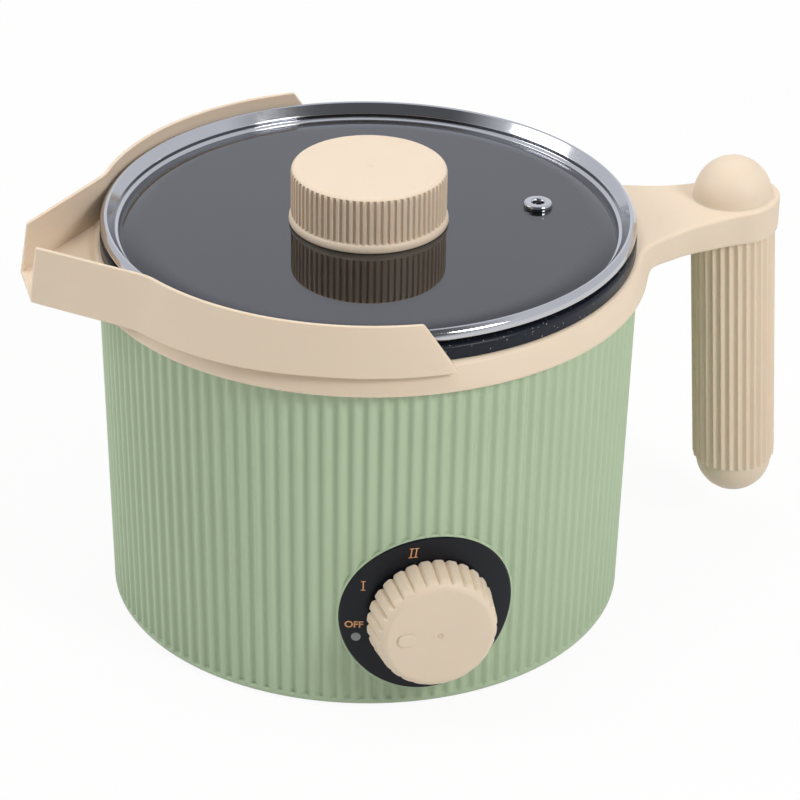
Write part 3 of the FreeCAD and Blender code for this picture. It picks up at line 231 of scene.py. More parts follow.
class StudioSettings(bpy.types.PropertyGroup):
    """Camera's place, aim and lens."""
    turn: angle("Turn", -14.895, "Camera's direction round the pot, from -Y")
    rise: angle("Rise", 29.124, "Camera's height angle")
    roll: angle("Roll", 0.888, "Camera's roll")
    distance: length("Distance", 1155.835 * MM, "From the aimed point to the camera")
    aim_side: length("Aim side", 11.457 * MM, "Aimed point, to the camera's right")
    aim_height: length("Aim height", 67.505 * MM, "Aimed point above the table")
    lens: FloatProperty(name="Lens", description="Focal length on a 36 mm sensor", default=150.28,
                        unit="CAMERA")


GROUPS = {
    "melter_body": BodySizes, "melter_collar": CollarSizes, "melter_spout": SpoutSizes,
    "melter_pot": PotSizes, "melter_lid": LidSizes, "melter_grip": GripSizes, "melter_dial": DialSizes,
    "melter_finishes": Finishes, "melter_studio": StudioSettings,
}


def sizes(name):
    """The scene's property group of that name."""
    return getattr(bpy.context.scene, "melter_" + name)


# ---------------------------------------------------------------- mesh tools

def clamped(value):
    """Value held between 0 and 1."""
    return min(1.0, max(0.0, value))


def filleted(points, closed=False, steps=5):
    """Line through points (x, y, rounding), with an arc of that radius at each. 0 keeps the corner."""
    line = []
    total = len(points)
    for index, (x, y, radius) in enumerate(points):
        here = Vector((x, y))
        if radius == 0 or (not closed and index in (0, total - 1)):
            line.append(here)
            continue
        back = Vector(points[index - 1][:2]) - here
        ahead = Vector(points[(index + 1) % total][:2]) - here
        half = back.angle(ahead) / 2
        reach = min(radius / math.tan(half), CORNER_SHARE * back.length, CORNER_SHARE * ahead.length)
        radius = reach * math.tan(half)
        middle = (back.normalized() + ahead.normalized()).normalized()
        centre = here + middle * radius / math.sin(half)
        first = here + back.normalized() * reach - centre
        last = here + ahead.normalized() * reach - centre
        sweep = first.angle_signed(last)
        line += [centre + Matrix.Rotation(-sweep * step / steps, 2) @ first for step in range(steps + 1)]
    return line


def rounded_rectangle(half_wide, half_high, edge, steps=5, middle=0.0):
    """Outline of a rectangle with round corners, whose middle stands at a height."""
    corners = [(x * half_wide, middle + y * half_high, edge) for x, y in ((-1, -1), (1, -1), (1, 1), (-1, 1))]
    return filleted(corners, closed=True, steps=steps)


def flute(steps, form):
    """One flute from valley to valley as (share of the pitch, share of the depth)."""
    return [(step / steps, form(abs(1 - 2 * step / steps))) for step in range(steps)]


def plain(segments):
    """Shares for a round loop of that many points."""
    return [(step / segments, 0.0) for step in range(segments)]


def ring(radius, height, shares, depth=0.0, flutes=1):
    """Closed loop at a height. Shares are one flute's (pitch, depth) pairs, repeated round."""
    loop = []
    for index in range(flutes):
        for share, cut in shares:
            direction = math.tau * (index + share) / flutes
            reach = radius - depth * cut
            loop.append(Vector((reach * math.cos(direction), reach * math.sin(direction), height)))
    return loop


def loft(loops, wrap=False, cap=True):
    """Points and faces of a skin through equal loops. Wrap joins the last loop to the first."""
    size = len(loops[0])
    points = [point for loop in loops for point in loop]
    faces = []
    for row in range(len(loops) if wrap else len(loops) - 1):
        low = row * size
        high = (row + 1) % len(loops) * size
        for index in range(size):
            after = (index + 1) % size
            faces.append((low + index, low + after, high + after, high + index))
    if cap and not wrap:
        faces.append(tuple(range(size))[::-1])
        faces.append(tuple(range(len(points) - size, len(points))))
    return points, faces


def fluted_skin(rows, shares, flutes, wrap=False):
    """Skin through rows of (radius, height, flute depth)."""
    return loft([ring(radius, height, shares, cut, flutes) for radius, height, cut in rows], wrap)


def lathe(line, segments, wrap=True):
    """Solid of revolution from (radius, height) points. Without wrap, its ends are capped."""
    return loft([ring(radius, height, plain(segments)) for radius, height in map(Vector, line)], wrap)


def slab(rows, thickness):
    """Solid that hangs straight down from a grid of points."""
    wide = len(rows[0])
    top = [point for row in rows for point in row]
    total = len(top)
    faces = []
    for start in range(0, total - wide, wide):
        for index in range(start, start + wide - 1):
            quad = (index, index + 1, index + 1 + wide, index + wide)
            faces += [quad, tuple(total + corner for corner in reversed(quad))]
    border = list(range(wide)) + list(range(2 * wide - 1, total, wide))
    border += list(range(total - 2, total - wide - 1, -1)) + list(range(total - 2 * wide, 0, -wide))
    for here, after in zip(border, border[1:] + border[:1]):
        faces.append((here, after, total + after, total + here))
    return top + [point - Vector((0, 0, thickness)) for point in top], faces


def joined(*parts):
    """Several (points, faces) as one."""
    points, faces = [], []
    for some_points, some_faces in parts:
        start = len(points)
        points += some_points
        faces += [tuple(start + corner for corner in face) for face in some_faces]
    return points, faces


def moved(part, matrix):
    """Points and faces, moved by a matrix."""
    points, faces = part
    return [matrix @ point for point in points], faces


def mesh_of(name, part, sharp=40):
    """Mesh with outward faces, smooth except across edges sharper than the given degrees."""
    points, faces = part
    mesh = bpy.data.meshes.new(name)
    mesh.from_pydata([tuple(point) for point in points], [], faces)
    work = bmesh.new()
    work.from_mesh(mesh)
    bmesh.ops.remove_doubles(work, verts=work.verts, dist=MERGE)
    bmesh.ops.dissolve_degenerate(work, edges=work.edges, dist=MERGE)
    bmesh.ops.recalc_face_normals(work, faces=work.faces)
    work.to_mesh(mesh)
    work.free()
    mesh.shade_smooth()
    mesh.set_sharp_from_angle(angle=math.radians(sharp))
    return mesh


def placed(name, data):
    """New object in the scene."""
    thing = bpy.data.objects.new(name, data)
    bpy.context.scene.collection.objects.link(thing)
    return thing


def evaluated(thing):
    """Points and faces of an object as it looks after its modifiers."""
    graph = bpy.context.evaluated_depsgraph_get()
    mesh = bpy.data.meshes.new_from_object(thing.evaluated_get(graph))
    points = [vertex.co.copy() for vertex in mesh.vertices]
    faces = [tuple(face.vertices) for face in mesh.polygons]
    bpy.data.meshes.remove(mesh)
    return points, faces


def combine(part, operation, tools):
    """Boolean of a part with tool parts, as points and faces."""
    base = placed("boolean_base", mesh_of("boolean_base", part))
    helpers = []
    for tool in tools:
        helper = placed("boolean_tool", mesh_of("boolean_tool", tool))
        step = base.modifiers.new("step", "BOOLEAN")
        step.operation = operation
        step.solver = "EXACT"
        step.object = helper
        helpers.append(helper)
    result = evaluated(base)
    for thing in [base] + helpers:
        bpy.data.meshes.remove(thing.data)
    return result


def piece(name, part, body, slot, replaces=(), sharp=40, finish=None):
    """Object on a body that stands for its CAD nodes, in its slot's finish if no other is given."""
    thing = placed(name, mesh_of(name, part, sharp))
    thing.data.materials.append(finish or finish_of(slot))
    weighted = thing.modifiers.new("even_shading", "WEIGHTED_NORMAL")
    weighted.keep_sharp = True
    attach(thing, body)
    if replaces:
        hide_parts(*replaces)


# ---------------------------------------------------------------- materials

def add(tree, kind, inputs=(), **settings):
    """Adds a node. Inputs pairs socket names or numbers with values or with other nodes' outputs."""
    made = tree.nodes.new(kind)
    for key, value in settings.items():
        setattr(made, key, value)
    for key, value in dict(inputs).items():
        if isinstance(value, bpy.types.NodeSocket):
            tree.links.new(value, made.inputs[key])
        else:
            made.inputs[key].default_value = value
    return made


def material(name):
    """New material and its empty node tree."""
    made = bpy.data.materials.new(name)
    made.use_nodes = True
    made.node_tree.nodes.clear()
    return made, made.node_tree


def opaque(rgb):
    """Colour with full alpha."""
    return (rgb[0], rgb[1], rgb[2], 1.0)


def shade(rgb, factor):
    """Colour made lighter or darker by a factor."""
    return tuple(min(1.0, channel * factor) for channel in rgb)


def varied(tree, place, rgb, patch, amount):
    """Colour that drifts by a small share over patches of a size in metres."""
    drift = add(tree, "ShaderNodeTexNoise", {"Vector": place, "Scale": 1 / patch, "Detail": 2.0})
    mix = add(tree, "ShaderNodeMix", {
        0: drift.outputs["Fac"], "A": opaque(shade(rgb, 1 - amount)), "B": opaque(shade(rgb, 1 + amount))},
        data_type="RGBA")
    return mix.outputs["Result"]


def relief(tree, size, detail, bite, depth):
    """Unevenness of a size and depth in metres: the place on the piece, the pattern and the bent normal."""
    place = add(tree, "ShaderNodeTexCoord").outputs["Object"]
    noise = add(tree, "ShaderNodeTexNoise", {"Vector": place, "Scale": 1 / size, "Detail": detail})
    pattern = noise.outputs["Fac"]
    bump = add(tree, "ShaderNodeBump", {"Height": pattern, "Strength": bite, "Distance": depth})
    return place, pattern, bump.outputs["Normal"]


def moulded(name, rgb, roughness, grain, bite, subsurface=0.0, gloss_level=0.5):
    """Moulded or pressed surface: grain of a size in metres, and a faint drift of the dye."""
    made, tree = material(name)
    place, pattern, normal = relief(tree, grain, 3.0, bite, 0.05 * MM)
    dullness = add(tree, "ShaderNodeMapRange", {
        "Value": pattern, "To Min": roughness - 0.05, "To Max": roughness + 0.07})
    shader = add(tree, "ShaderNodeBsdfPrincipled", {
        "Base Color": varied(tree, place, rgb, patch=25 * MM, amount=0.025),
        "Roughness": dullness.outputs["Result"], "IOR": 1.49, "Specular IOR Level": gloss_level,
        "Normal": normal, "Subsurface Weight": subsurface, "Subsurface Radius": (1.0, 0.6, 0.35),
        "Subsurface Scale": 1.5 * MM})
    add(tree, "ShaderNodeOutputMaterial", {"Surface": shader.outputs[0]})
    return made


def sage_polypropylene():
    """Polypropylene, injection moulded and satin: soft wide sheen on each rib, never a mirror."""
    return moulded("moulded_polypropylene_sage", sizes("finishes").sage, roughness=0.44, grain=0.35 * MM,
                   bite=0.15)


def beige_polypropylene():
    """Polypropylene, moulded with fine spark texture: dry, milky, with slightly glowing edges."""
    return moulded("moulded_polypropylene_beige", sizes("finishes").beige, roughness=0.5, grain=0.35 * MM,
                   bite=0.12, subsurface=0.3)


def black_nylon():
    """Glass-filled nylon, moulded: dull black with a grey cast, as on sockets and switch bodies."""
    return moulded("moulded_nylon_black", linear("1C1C1E"), roughness=0.52, grain=0.4 * MM, bite=0.3)


def plate_abs():
    """ABS, moulded in a polished tool: deep black with a soft clean reflection."""
    return moulded("polished_abs_black", sizes("finishes").plate, roughness=0.3, grain=0.5 * MM, bite=0.04,
                   gloss_level=0.22)


def lens_acrylic():
    """Acrylic with diffuser, moulded: pale grey and smooth, and light spreads inside it."""
    return moulded("diffusing_acrylic_grey", sizes("finishes").lens, roughness=0.22, grain=0.5 * MM,
                   bite=0.03, subsurface=0.3)


def ink():
    """Pad printing ink: thin matt layer, warm tan."""
    return moulded("pad_print_ink_tan", sizes("finishes").print_ink, roughness=0.6, grain=0.3 * MM, bite=0.05)


def rubber():
    """Nitrile rubber, pressed: matt black."""
    return moulded("pressed_rubber_black", linear("222222"), roughness=0.75, grain=0.5 * MM, bite=0.35)


def wire_braid():
    """Glass fibre braid over wire: off-white, uneven at 0.6 mm as its weave is."""
    return moulded("glass_fibre_braid", linear("C9C4B6"), roughness=0.7, grain=0.6 * MM, bite=0.8)


def metal(name, rgb, roughness, mark, bite):
    """Bare metal with fine marks of a size in metres."""
    made, tree = material(name)
    place, pattern, normal = relief(tree, mark, 4.0, bite, 0.02 * MM)
    gloss = add(tree, "ShaderNodeMapRange", {
        "Value": pattern, "To Min": max(0.02, roughness - 0.04), "To Max": roughness + 0.05})
    shader = add(tree, "ShaderNodeBsdfPrincipled", {
        "Base Color": varied(tree, place, rgb, patch=12 * MM, amount=0.03),
        "Roughness": gloss.outputs["Result"], "Normal": normal, "Metallic": 1.0})
    add(tree, "ShaderNodeOutputMaterial", {"Surface": shader.outputs[0]})
    return made


def polished_stainless():
    """Stainless steel, rolled and polished: clear bands of light and dark."""
    return metal("polished_stainless_steel", linear("C2C3C7"), roughness=0.11, mark=1.5 * MM, bite=0.04)


def zinc_steel():
    """Steel, zinc plated: soft grey shine."""
    return metal("zinc_plated_steel", linear("B9BBBE"), roughness=0.32, mark=0.8 * MM, bite=0.15)


def brass():
    """Brass pins, turned: warm yellow shine."""
    return metal("turned_brass", linear("D8B56A"), roughness=0.25, mark=0.8 * MM, bite=0.1)


def cast_aluminium():
    """Aluminium, die cast: dull silver with a fine skin."""
    return metal("die_cast_aluminium", linear("C4C5C7"), roughness=0.42, mark=0.6 * MM, bite=0.25)


def non_stick():
    """Non-stick coat on aluminium: smooth black with fine pale flecks, the largest about 0.4 mm across."""
    made, tree = material("non_stick_coat_black")
    place, _, normal = relief(tree, size=0.8 * MM, detail=3.0, bite=0.12, depth=0.05 * MM)
    cells = add(tree, "ShaderNodeTexVoronoi", {"Vector": place, "Scale": 1 / (1.1 * MM)})
    dot = add(tree, "ShaderNodeMapRange", {
        "Value": cells.outputs["Distance"], "From Min": 0.11, "From Max": 0.2, "To Min": 1.0, "To Max": 0.0})
    some = add(tree, "ShaderNodeMath", {0: cells.outputs["Color"], 1: 0.62}, operation="GREATER_THAN")
    fleck = add(tree, "ShaderNodeMath", {0: dot.outputs["Result"], 1: some.outputs[0]}, operation="MULTIPLY")
    mix = add(tree, "ShaderNodeMix", {
        0: fleck.outputs[0], "A": opaque(sizes("finishes").pot), "B": opaque(linear("A9AAA8"))},
        data_type="RGBA")
    shader = add(tree, "ShaderNodeBsdfPrincipled", {
        "Base Color": mix.outputs["Result"], "Roughness": 0.3, "IOR": 1.4, "Specular IOR Level": 0.25,
        "Normal": normal})
    add(tree, "ShaderNodeOutputMaterial", {"Surface": shader.outputs[0]})
    return made


def smoked_glass():
    """Tempered float glass, tinted grey: dark from above, with a clear cold and faintly wavering reflection.

    Its IOR is above the usual 1.52, so that it mirrors more of the room.
    """
    made, tree = material("smoked_tempered_glass")
    normal = relief(tree, size=60 * MM, detail=0.0, bite=0.02, depth=0.3 * MM)[2]
    shader = add(tree, "ShaderNodeBsdfPrincipled", {
        "Base Color": opaque(sizes("finishes").glass), "Roughness": 0.015, "IOR": 1.75,
        "Specular Tint": (0.9, 0.92, 1.0, 1.0), "Transmission Weight": 1.0, "Normal": normal})
    add(tree, "ShaderNodeOutputMaterial", {"Surface": shader.outputs[0]})
    return made


SLOT_FINISHES = {
    "sage_plastic": sage_polypropylene, "beige_plastic": beige_polypropylene, "black_plastic": black_nylon,
    "gloss_black": plate_abs, "non_stick": non_stick, "smoked_glass": smoked_glass,
    "polished_steel": polished_stainless, "steel": zinc_steel, "brass": brass, "aluminium": cast_aluminium,
    "lens_plastic": lens_acrylic, "rubber": rubber, "wire_cover": wire_braid,
}
made_finishes = {}


def finish_of(slot):
    """Material of a slot, made at its first use."""
    if slot not in made_finishes:
        made_finishes[slot] = SLOT_FINISHES[slot]()
    return made_finishes[slot]


# ---------------------------------------------------------------- body

def crest(z):
    """Radius of the body's rib crests at a height."""
    body = sizes("body")
    return body.base_radius + body.taper * (z - body.foot) / (body.top - body.foot)


def around_to_dial():
    """Turn about the pot's axis that takes -Y to the dial."""
    return Matrix.Rotation(-sizes("dial").lead, 4, "Z")


def on_plate(u, v, w):
    """Point on the bent dial plate: u along X and v along Z from the dial's axis, w out from the crests."""
    z = sizes("dial").height + v
    reach = crest(z) + w
    return around_to_dial() @ Vector((u, -math.sqrt(reach * reach - u * u), z))


def plate_ring(radius, w, segments):
    """Loop round the dial's axis that follows the bent plate."""
    turns = [math.tau * step / segments for step in range(segments)]
    return [on_plate(radius * math.cos(turn), radius * math.sin(turn), w) for turn in turns]


def reed(off, turn=0.55):
    """Depth share of a round rib at a distance off its crest, 0 to 1. Past the turn the valley is rounded."""
    return off * off / turn if off < turn else 1 - (1 - off) ** 2 / (1 - turn)


def body_wall():
    """Fluted wall on a plain band with a rounded foot."""
    body = sizes("body")
    foot = crest(body.foot)
    band = body.foot + body.band
    heights = [band + share * (body.top - band) for share in (0.25, 0.5, 0.75, 1.0)]
    rows = [
        (foot - body.wall, body.foot + 0.3 * MM, 0),
        (foot - 0.9 * MM, body.foot, 0),
        (foot - 0.3 * MM, body.foot + 0.25 * MM, 0),
        (foot, body.foot + 0.8 * MM, 0),
        (crest(band), band - 0.1 * MM, 0),
        (crest(band), band + 0.5 * MM, body.flute_depth),
        *[(crest(z), z, body.flute_depth) for z in heights],
        (crest(body.top) - body.wall, body.top, 0)]
    return fluted_skin(rows, flute(14, reed), body.flutes, wrap=True)


def inlet_block(width, height, near, far, edge):
    """Block with round corners about the inlet's middle, from near to far along Y."""
    low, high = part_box("power_inlet")
    outline = rounded_rectangle(width / 2, height / 2, edge, middle=(low[2] + high[2]) / 2)
    return loft([[Vector((p.x, y, p.y)) for p in outline] for y in (near, far)])


def dial_hole():
    """Cutter for the round opening that the dial plate sits in."""
    dial = sizes("dial")
    radius = dial.plate_radius + PLAY
    length_out = 60 * MM
    place = around_to_dial() @ Matrix.Translation((0, -length_out, dial.height))
    tube = lathe([(0.01 * MM, 0), (radius, 0), (radius, length_out), (0.01 * MM, length_out)], 192)
    return moved(tube, place @ Matrix.Rotation(math.pi / 2, 4, "X"))


def dial_lip():
    """Lip of the body round the dial plate, level with the crests and bevelled outside."""
    rim = sizes("dial").plate_radius
    section = ((-0.6, -1.7), (-0.6, -0.05), (0.6, -0.05), (0.85, -0.3), (0.95, -1.7))
    return loft([plate_ring(rim + out * MM, rise * MM, 160) for out, rise in section], wrap=True)


class MELTER_OT_body(bpy.types.Operator):
    """Fluted body with its plain lower band, the dial's opening and the pad for the inlet"""
    bl_idname = "melter.body"
    bl_label = "Fluted body"

    def execute(self, context):
        body = sizes("body")
        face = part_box("power_inlet")[1][1] - INLET_FLANGE
        pad = inlet_block(body.pad_width, body.pad_height, body.base_radius - 6 * MM, face, 2.5 * MM)
        mouth = inlet_block(body.inlet_width, body.inlet_height, body.base_radius - 20 * MM, face + 9 * MM,
                            0.5 * MM)
        skin = combine(body_wall(), "UNION", [pad, dial_lip()])
        skin = combine(skin, "DIFFERENCE", [mouth, dial_hole()])
        piece("fluted_body", skin, "housing", "sage_plastic", ["outer_shell"], sharp=50)
        return {"FINISHED"}


# ---------------------------------------------------------------- collar and arm

def hermite(start, end, leave, arrive, share):
    """Point on a smooth curve from start to end that leaves and arrives along the given tangents."""
    square, cube = share * share, share ** 3
    return (start * (2 * cube - 3 * square + 1) + leave * (cube - 2 * square + share)
            + end * (3 * square - 2 * cube) + arrive * (cube - square))


def evened(line, parts):
    """The same line with evenly spaced points."""
    lengths = [0.0]
    for before, after in zip(line, line[1:]):
        lengths.append(lengths[-1] + (after - before).length)
    even = []
    for part in range(parts):
        target = lengths[-1] * part / parts
        index = max(i for i, value in enumerate(lengths[:-1]) if value <= target)
        share = (target - lengths[index]) / (lengths[index + 1] - lengths[index])
        even.append(line[index].lerp(line[index + 1], share))
    return even


def eased(before, here, after):
    """Point drawn halfway towards the middle of its two neighbours."""
    return (before + here * 2 + after) / 4


def softened(line, radius):
    """The line with the corners between collar and arm eased."""
    result = []
    for index, point in enumerate(line):
        near = abs(point.length - radius) < 7 * MM and point.x > 0
        result.append(eased(line[index - 1], point, line[(index + 1) % len(line)]) if near else point)
    return result


def outward(line, index):
    """Outward direction of a counter-clockwise line at one of its points."""
    along = line[(index + 1) % len(line)] - line[index - 1]
    return Vector((along.y, -along.x)).normalized()


def arm_side(side, radius):
    """One side of the arm in plan, from the collar's outside at a radius to the round end."""
    collar = sizes("collar")
    root_y = side * collar.root / 2 - collar.sway
    knots = [Vector((math.sqrt(collar.top_radius ** 2 - root_y ** 2), root_y)),
             Vector((collar.reach - collar.flare_back, side * collar.flare / 2 - collar.sway)),
             Vector((collar.reach - collar.waist_back, side * collar.waist / 2 - collar.sway)),
             Vector((collar.reach, side * collar.end_radius))]
    pull = 1.1
    first = Vector((abs(root_y), -side * knots[0].x)).normalized() * (knots[1] - knots[0]).length * pull
    last = Vector((1, 0)) * (knots[3] - knots[2]).length
    tangents = [first] + [(knots[i + 1] - knots[i - 1]) / 2 for i in (1, 2)] + [last]
    steps = 14
    line = [hermite(knots[i], knots[i + 1], tangents[i], tangents[i + 1], step / steps)
            for i in range(3) for step in range(steps)]
    return [point for point in line if point.length > radius]


def plan(radius, grow=0.0):
    """Outline of collar and arm in plan, counter-clockwise from the arm's +Y root, always as many points."""
    collar = sizes("collar")
    upper = arm_side(1, radius)
    lower = arm_side(-1, radius)
    start = math.atan2(upper[0].y, upper[0].x)
    end = math.atan2(lower[0].y, lower[0].x) + math.tau
    round_steps, side_steps, end_steps = 240, 40, 32
    arc = [start + (end - start) * step / round_steps for step in range(1, round_steps)]
    line = [Vector((radius * math.cos(turn), radius * math.sin(turn))) for turn in arc]
    line += evened(lower, side_steps)
    for step in range(end_steps + 1):
        turn = math.pi * step / end_steps
        line.append(Vector((collar.reach + collar.end_radius * math.sin(turn),
                            -collar.end_radius * math.cos(turn))))
    line += evened(upper, side_steps)[::-1]
    for _ in range(10):
        line = softened(line, radius)
    return [point + outward(line, index) * grow for index, point in enumerate(line)]


def deck_height(x):
    """Height of collar and arm tops at a place along X."""
    collar = sizes("collar")
    arm = collar.arm_top + (x - collar.reach) * math.tan(collar.tilt)
    return collar.deck + max(0.0, arm - collar.deck)


def clear_of(place, loop, gap):
    """Whether a place lies inside a loop and away from it."""
    inside = False
    for before, after in zip(loop, loop[1:] + loop[:1]):
        if (before.y > place.y) != (after.y > place.y):
            cross = before.x + (place.y - before.y) * (after.x - before.x) / (after.y - before.y)
            if place.x < cross:
                inside = not inside
        if (place - before).length < gap:
            return False
    return inside


def flat_skin(outer, inner, height, inner_radius):
    """Triangles between an outer and an inner loop, with a grid of points over the arm, at a height of x."""
    collar = sizes("collar")
    points = list(outer) + list(inner)
    edges = [(i, (i + 1) % len(outer)) for i in range(len(outer))]
    edges += [(len(outer) + i, len(outer) + (i + 1) % len(inner)) for i in range(len(inner))]
    spacing = 3 * MM
    half = collar.root / 2
    x = inner_radius + spacing
    while x < collar.reach + collar.end_radius - spacing:
        for step in range(int(2 * half / spacing)):
            place = Vector((x, -half + spacing * step))
            if place.length > collar.foot_radius and clear_of(place, outer, 1.2 * MM):
                points.append(place)
        x += spacing
    found, _, triangles, *_ = delaunay_2d_cdt(points, edges, [], 1, MERGE)
    kept = []
    for triangle in triangles:
        middle = sum((found[i] for i in triangle), Vector((0, 0))) / len(triangle)
        if middle.length > inner_radius * math.cos(math.pi / len(inner)):
            kept.append(tuple(triangle))
    return [Vector((p.x, p.y, height(p.x))) for p in found], kept


def collar_side():
    """Loops of the outside of collar and arm, from a small chamfer at the foot to the rounded upper edge."""
    collar = sizes("collar")
    rise = collar.deck - collar.low
    slope = (collar.foot_radius - collar.top_radius) / rise
    loops = []
    for share, grow in ((0.0, -0.5), (0.05, -0.2), (0.15, 0.0), (0.5, 0.0), (0.8, 0.0)):
        line = plan(collar.foot_radius - slope * rise * share, grow * MM)
        loops.append([Vector((p.x, p.y, collar.low + (deck_height(p.x) - collar.low) * share)) for p in line])
    steps = 6
    for step in range(1, steps + 1):
        turn = math.pi / 2 * step / steps
        drop = collar.edge * (1 - math.sin(turn))
        line = plan(collar.top_radius + slope * drop, -collar.edge * (1 - math.cos(turn)))
        loops.append([Vector((p.x, p.y, deck_height(p.x) - drop)) for p in line])
    return loops


class MELTER_OT_collar(bpy.types.Operator):
    """Collar ring and handle arm in one moulding"""
    bl_idname = "melter.collar"
    bl_label = "Collar and arm"

    def execute(self, context):
        collar = sizes("collar")
        side = collar_side()
        shell = crest(collar.low) + PLAY
        under = collar.deck - DECK_WALL
        segments = 256
        inner_top = [p.xy for p in ring(collar.bore, 0, plain(segments))]
        inner_low = [p.xy for p in ring(shell, 0, plain(segments))]
        top = flat_skin([p.xy for p in side[-1]], inner_top, deck_height, collar.bore)
        bottom = flat_skin([p.xy for p in side[0]], inner_low, lambda x: collar.low, shell)
        line = ((shell, collar.low), (crest(under) + PLAY, under), (collar.bore, under),
                (collar.bore, collar.deck))
        inside = loft([ring(radius, z, plain(segments)) for radius, z in line], cap=False)
        skin = joined(loft(side, cap=False), top, bottom, inside)
        piece("collar_and_arm", skin, "housing", "beige_plastic", ["collar"], sharp=35)
        return {"FINISHED"}


# ---------------------------------------------------------------- spout

def polar(radius, turn, z):
    """Point from its distance to the pot's axis, its angle from +X and its height."""
    return Vector((radius * math.cos(turn), radius * math.sin(turn), z))


def wing_stations(steps):
    """Stations along the curved wing, from its slanted end to the root of the straight wall."""
    spout = sizes("spout")
    stations = []
    for step in range(steps + 1):
        share = step / steps
        high = spout.end_angle + (spout.root_angle - spout.end_angle) * share
        # the slant of the end evens out over the first two fifths
        low = high - spout.end_lead * max(0.0, 1 - 2.5 * share)
        foot, top = polar(spout.foot_radius, low, spout.foot), polar(spout.top_radius, high, spout.top)
        inner_top = polar(spout.top_radius - spout.edge_wall, high, spout.top)
        inner_foot = polar(spout.foot_radius - spout.wing_wall, low, spout.foot)
        sink_end = -spout.foot_radius * math.cos(spout.root_angle)
        sunk = clamped((foot.x + spout.step_start) / (spout.step_start - sink_end))
        lift = spout.step * (1 - sunk) / (spout.top - spout.foot)
        stations.append([foot.lerp(top, lift), top, inner_top, inner_foot.lerp(inner_top, lift)])
    return stations


def tip_station():
    """Station at the spout's mouth."""
    spout = sizes("spout")
    half = spout.tip_width / 2
    root = polar(spout.top_radius, spout.root_angle, 0)
    slant = abs(Vector((root.x + spout.reach, root.y - half)).normalized().x)
    low = spout.foot - spout.tip_drop
    out = -spout.reach - spout.overhang
    top = spout.top - spout.tip_sink
    return [Vector((out, half + spout.overhang / 2, low)), Vector((-spout.reach, half, top)),
            Vector((-spout.reach, half - spout.edge_wall / slant, top)),
            Vector((out, half + spout.overhang / 2 - spout.foot_wall / slant, low))]


def spout_sections():
    """Stations along the +Y wall, each with four corners: outer foot, outer top, inner top, inner foot."""
    stations = wing_stations(48)
    root, tip = stations[-1], tip_station()
    steps = 16
    for step in range(1, steps + 1):
        stations.append([corner.lerp(end, step / steps) for corner, end in zip(root, tip)])
    for _ in range(2):
        neighbours = zip(stations, stations[1:], stations[2:])
        between = [[eased(*corners) for corners in zip(*three)] for three in neighbours]
        stations = [stations[0]] + between + [stations[-1]]
    return stations


def rounded_section(corners, inset=0.0):
    """Closed loop with round corners through four corners in a plane, drawn in by an inset."""
    foot, top, inner_top, _ = corners
    across = (inner_top - top).normalized()
    up = top - foot
    up = (up - across * up.dot(across)).normalized()
    flat = [((corner - foot).dot(across), (corner - foot).dot(up)) for corner in corners]
    middle = Vector((sum(x for x, _ in flat) / 4, sum(y for _, y in flat) / 4))
    wide = 1 - inset / (max(x for x, _ in flat) - middle.x)
    high = 1 - inset / (max(y for _, y in flat) - middle.y)
    drawn = [(middle.x + (x - middle.x) * wide, middle.y + (y - middle.y) * high, 0.45 * MM) for x, y in flat]
    return [foot + across * p.x + up * p.y for p in filleted(drawn, closed=True, steps=4)]


def rounded_end(end, neighbour):
    """Loops that round off one end of the wall, from its face inward."""
    rounding = 0.55 * MM
    flatness = 0.8
    along = (neighbour[1] - end[1]).normalized()
    loops = []
    for share in (0.0, 0.35, 0.7):
        inset = rounding * (1 - math.sin(share * math.pi / 2)) * flatness
        loops.append(rounded_section([corner + along * (rounding * share) for corner in end], inset))
    return loops


def spout_wall():
    """The +Y wall from the wing's slanted end to the tip, closed at both ends."""
    stations = spout_sections()
    loops = rounded_end(stations[0], stations[1])
    loops += [rounded_section(station) for station in stations[1:-1]]
    loops += reversed(rounded_end(stations[-1], stations[-2]))
    return loft(loops)


def spout_floor_lines(gaps=24):
    """Top of the floor as lines side by side, each from the tip over the collar's edge to the pot."""
    spout = sizes("spout")
    deck = sizes("collar").deck + 0.08 * MM
    rim = sizes("pot").rim_radius
    edge = sizes("collar").top_radius
    root = polar(spout.foot_radius - 0.8 * MM, spout.root_angle, 0)
    half = spout.tip_width / 2 + spout.overhang / 2 - 0.6 * MM
    out = -spout.reach - spout.overhang + 0.15 * MM
    level = spout.foot + spout.floor
    rise = deck - spout.foot - spout.floor
    lines = []
    for step in range(gaps + 1):
        side = -1 + 2 * step / gaps
        y = root.y * side
        line = [Vector((out, half * side, spout.foot - spout.tip_drop + spout.floor)),
                Vector((min(root.x, -math.sqrt((edge + 3 * MM) ** 2 - y * y)), y, level))]
        for part in range(7):
            share = part / 6
            radius = edge + 2.4 * MM - share * 3 * MM
            height = level + rise * share * share * (3 - 2 * share)
            line.append(Vector((-math.sqrt(radius ** 2 - y * y), y, height)))
        line.append(Vector((-math.sqrt((rim + PLAY) ** 2 - y * y), y, deck)))
        lines.append(line)
    return lines


class MELTER_OT_spout(bpy.types.Operator):
    """Pouring spout: two wings, two straight walls and a sloping floor"""
    bl_idname = "melter.spout"
    bl_label = "Pouring spout"

    def execute(self, context):
        wall = spout_wall()
        points, faces = moved(wall, Matrix.Scale(-1, 4, (0, 1, 0)))
        other = (points, [face[::-1] for face in faces])
        body = combine(wall, "UNION", [other, slab(spout_floor_lines(), sizes("spout").floor)])
        piece("pouring_spout", body, "housing", "beige_plastic", ["pour_spout"], sharp=35)
        return {"FINISHED"}


# ---------------------------------------------------------------- pot

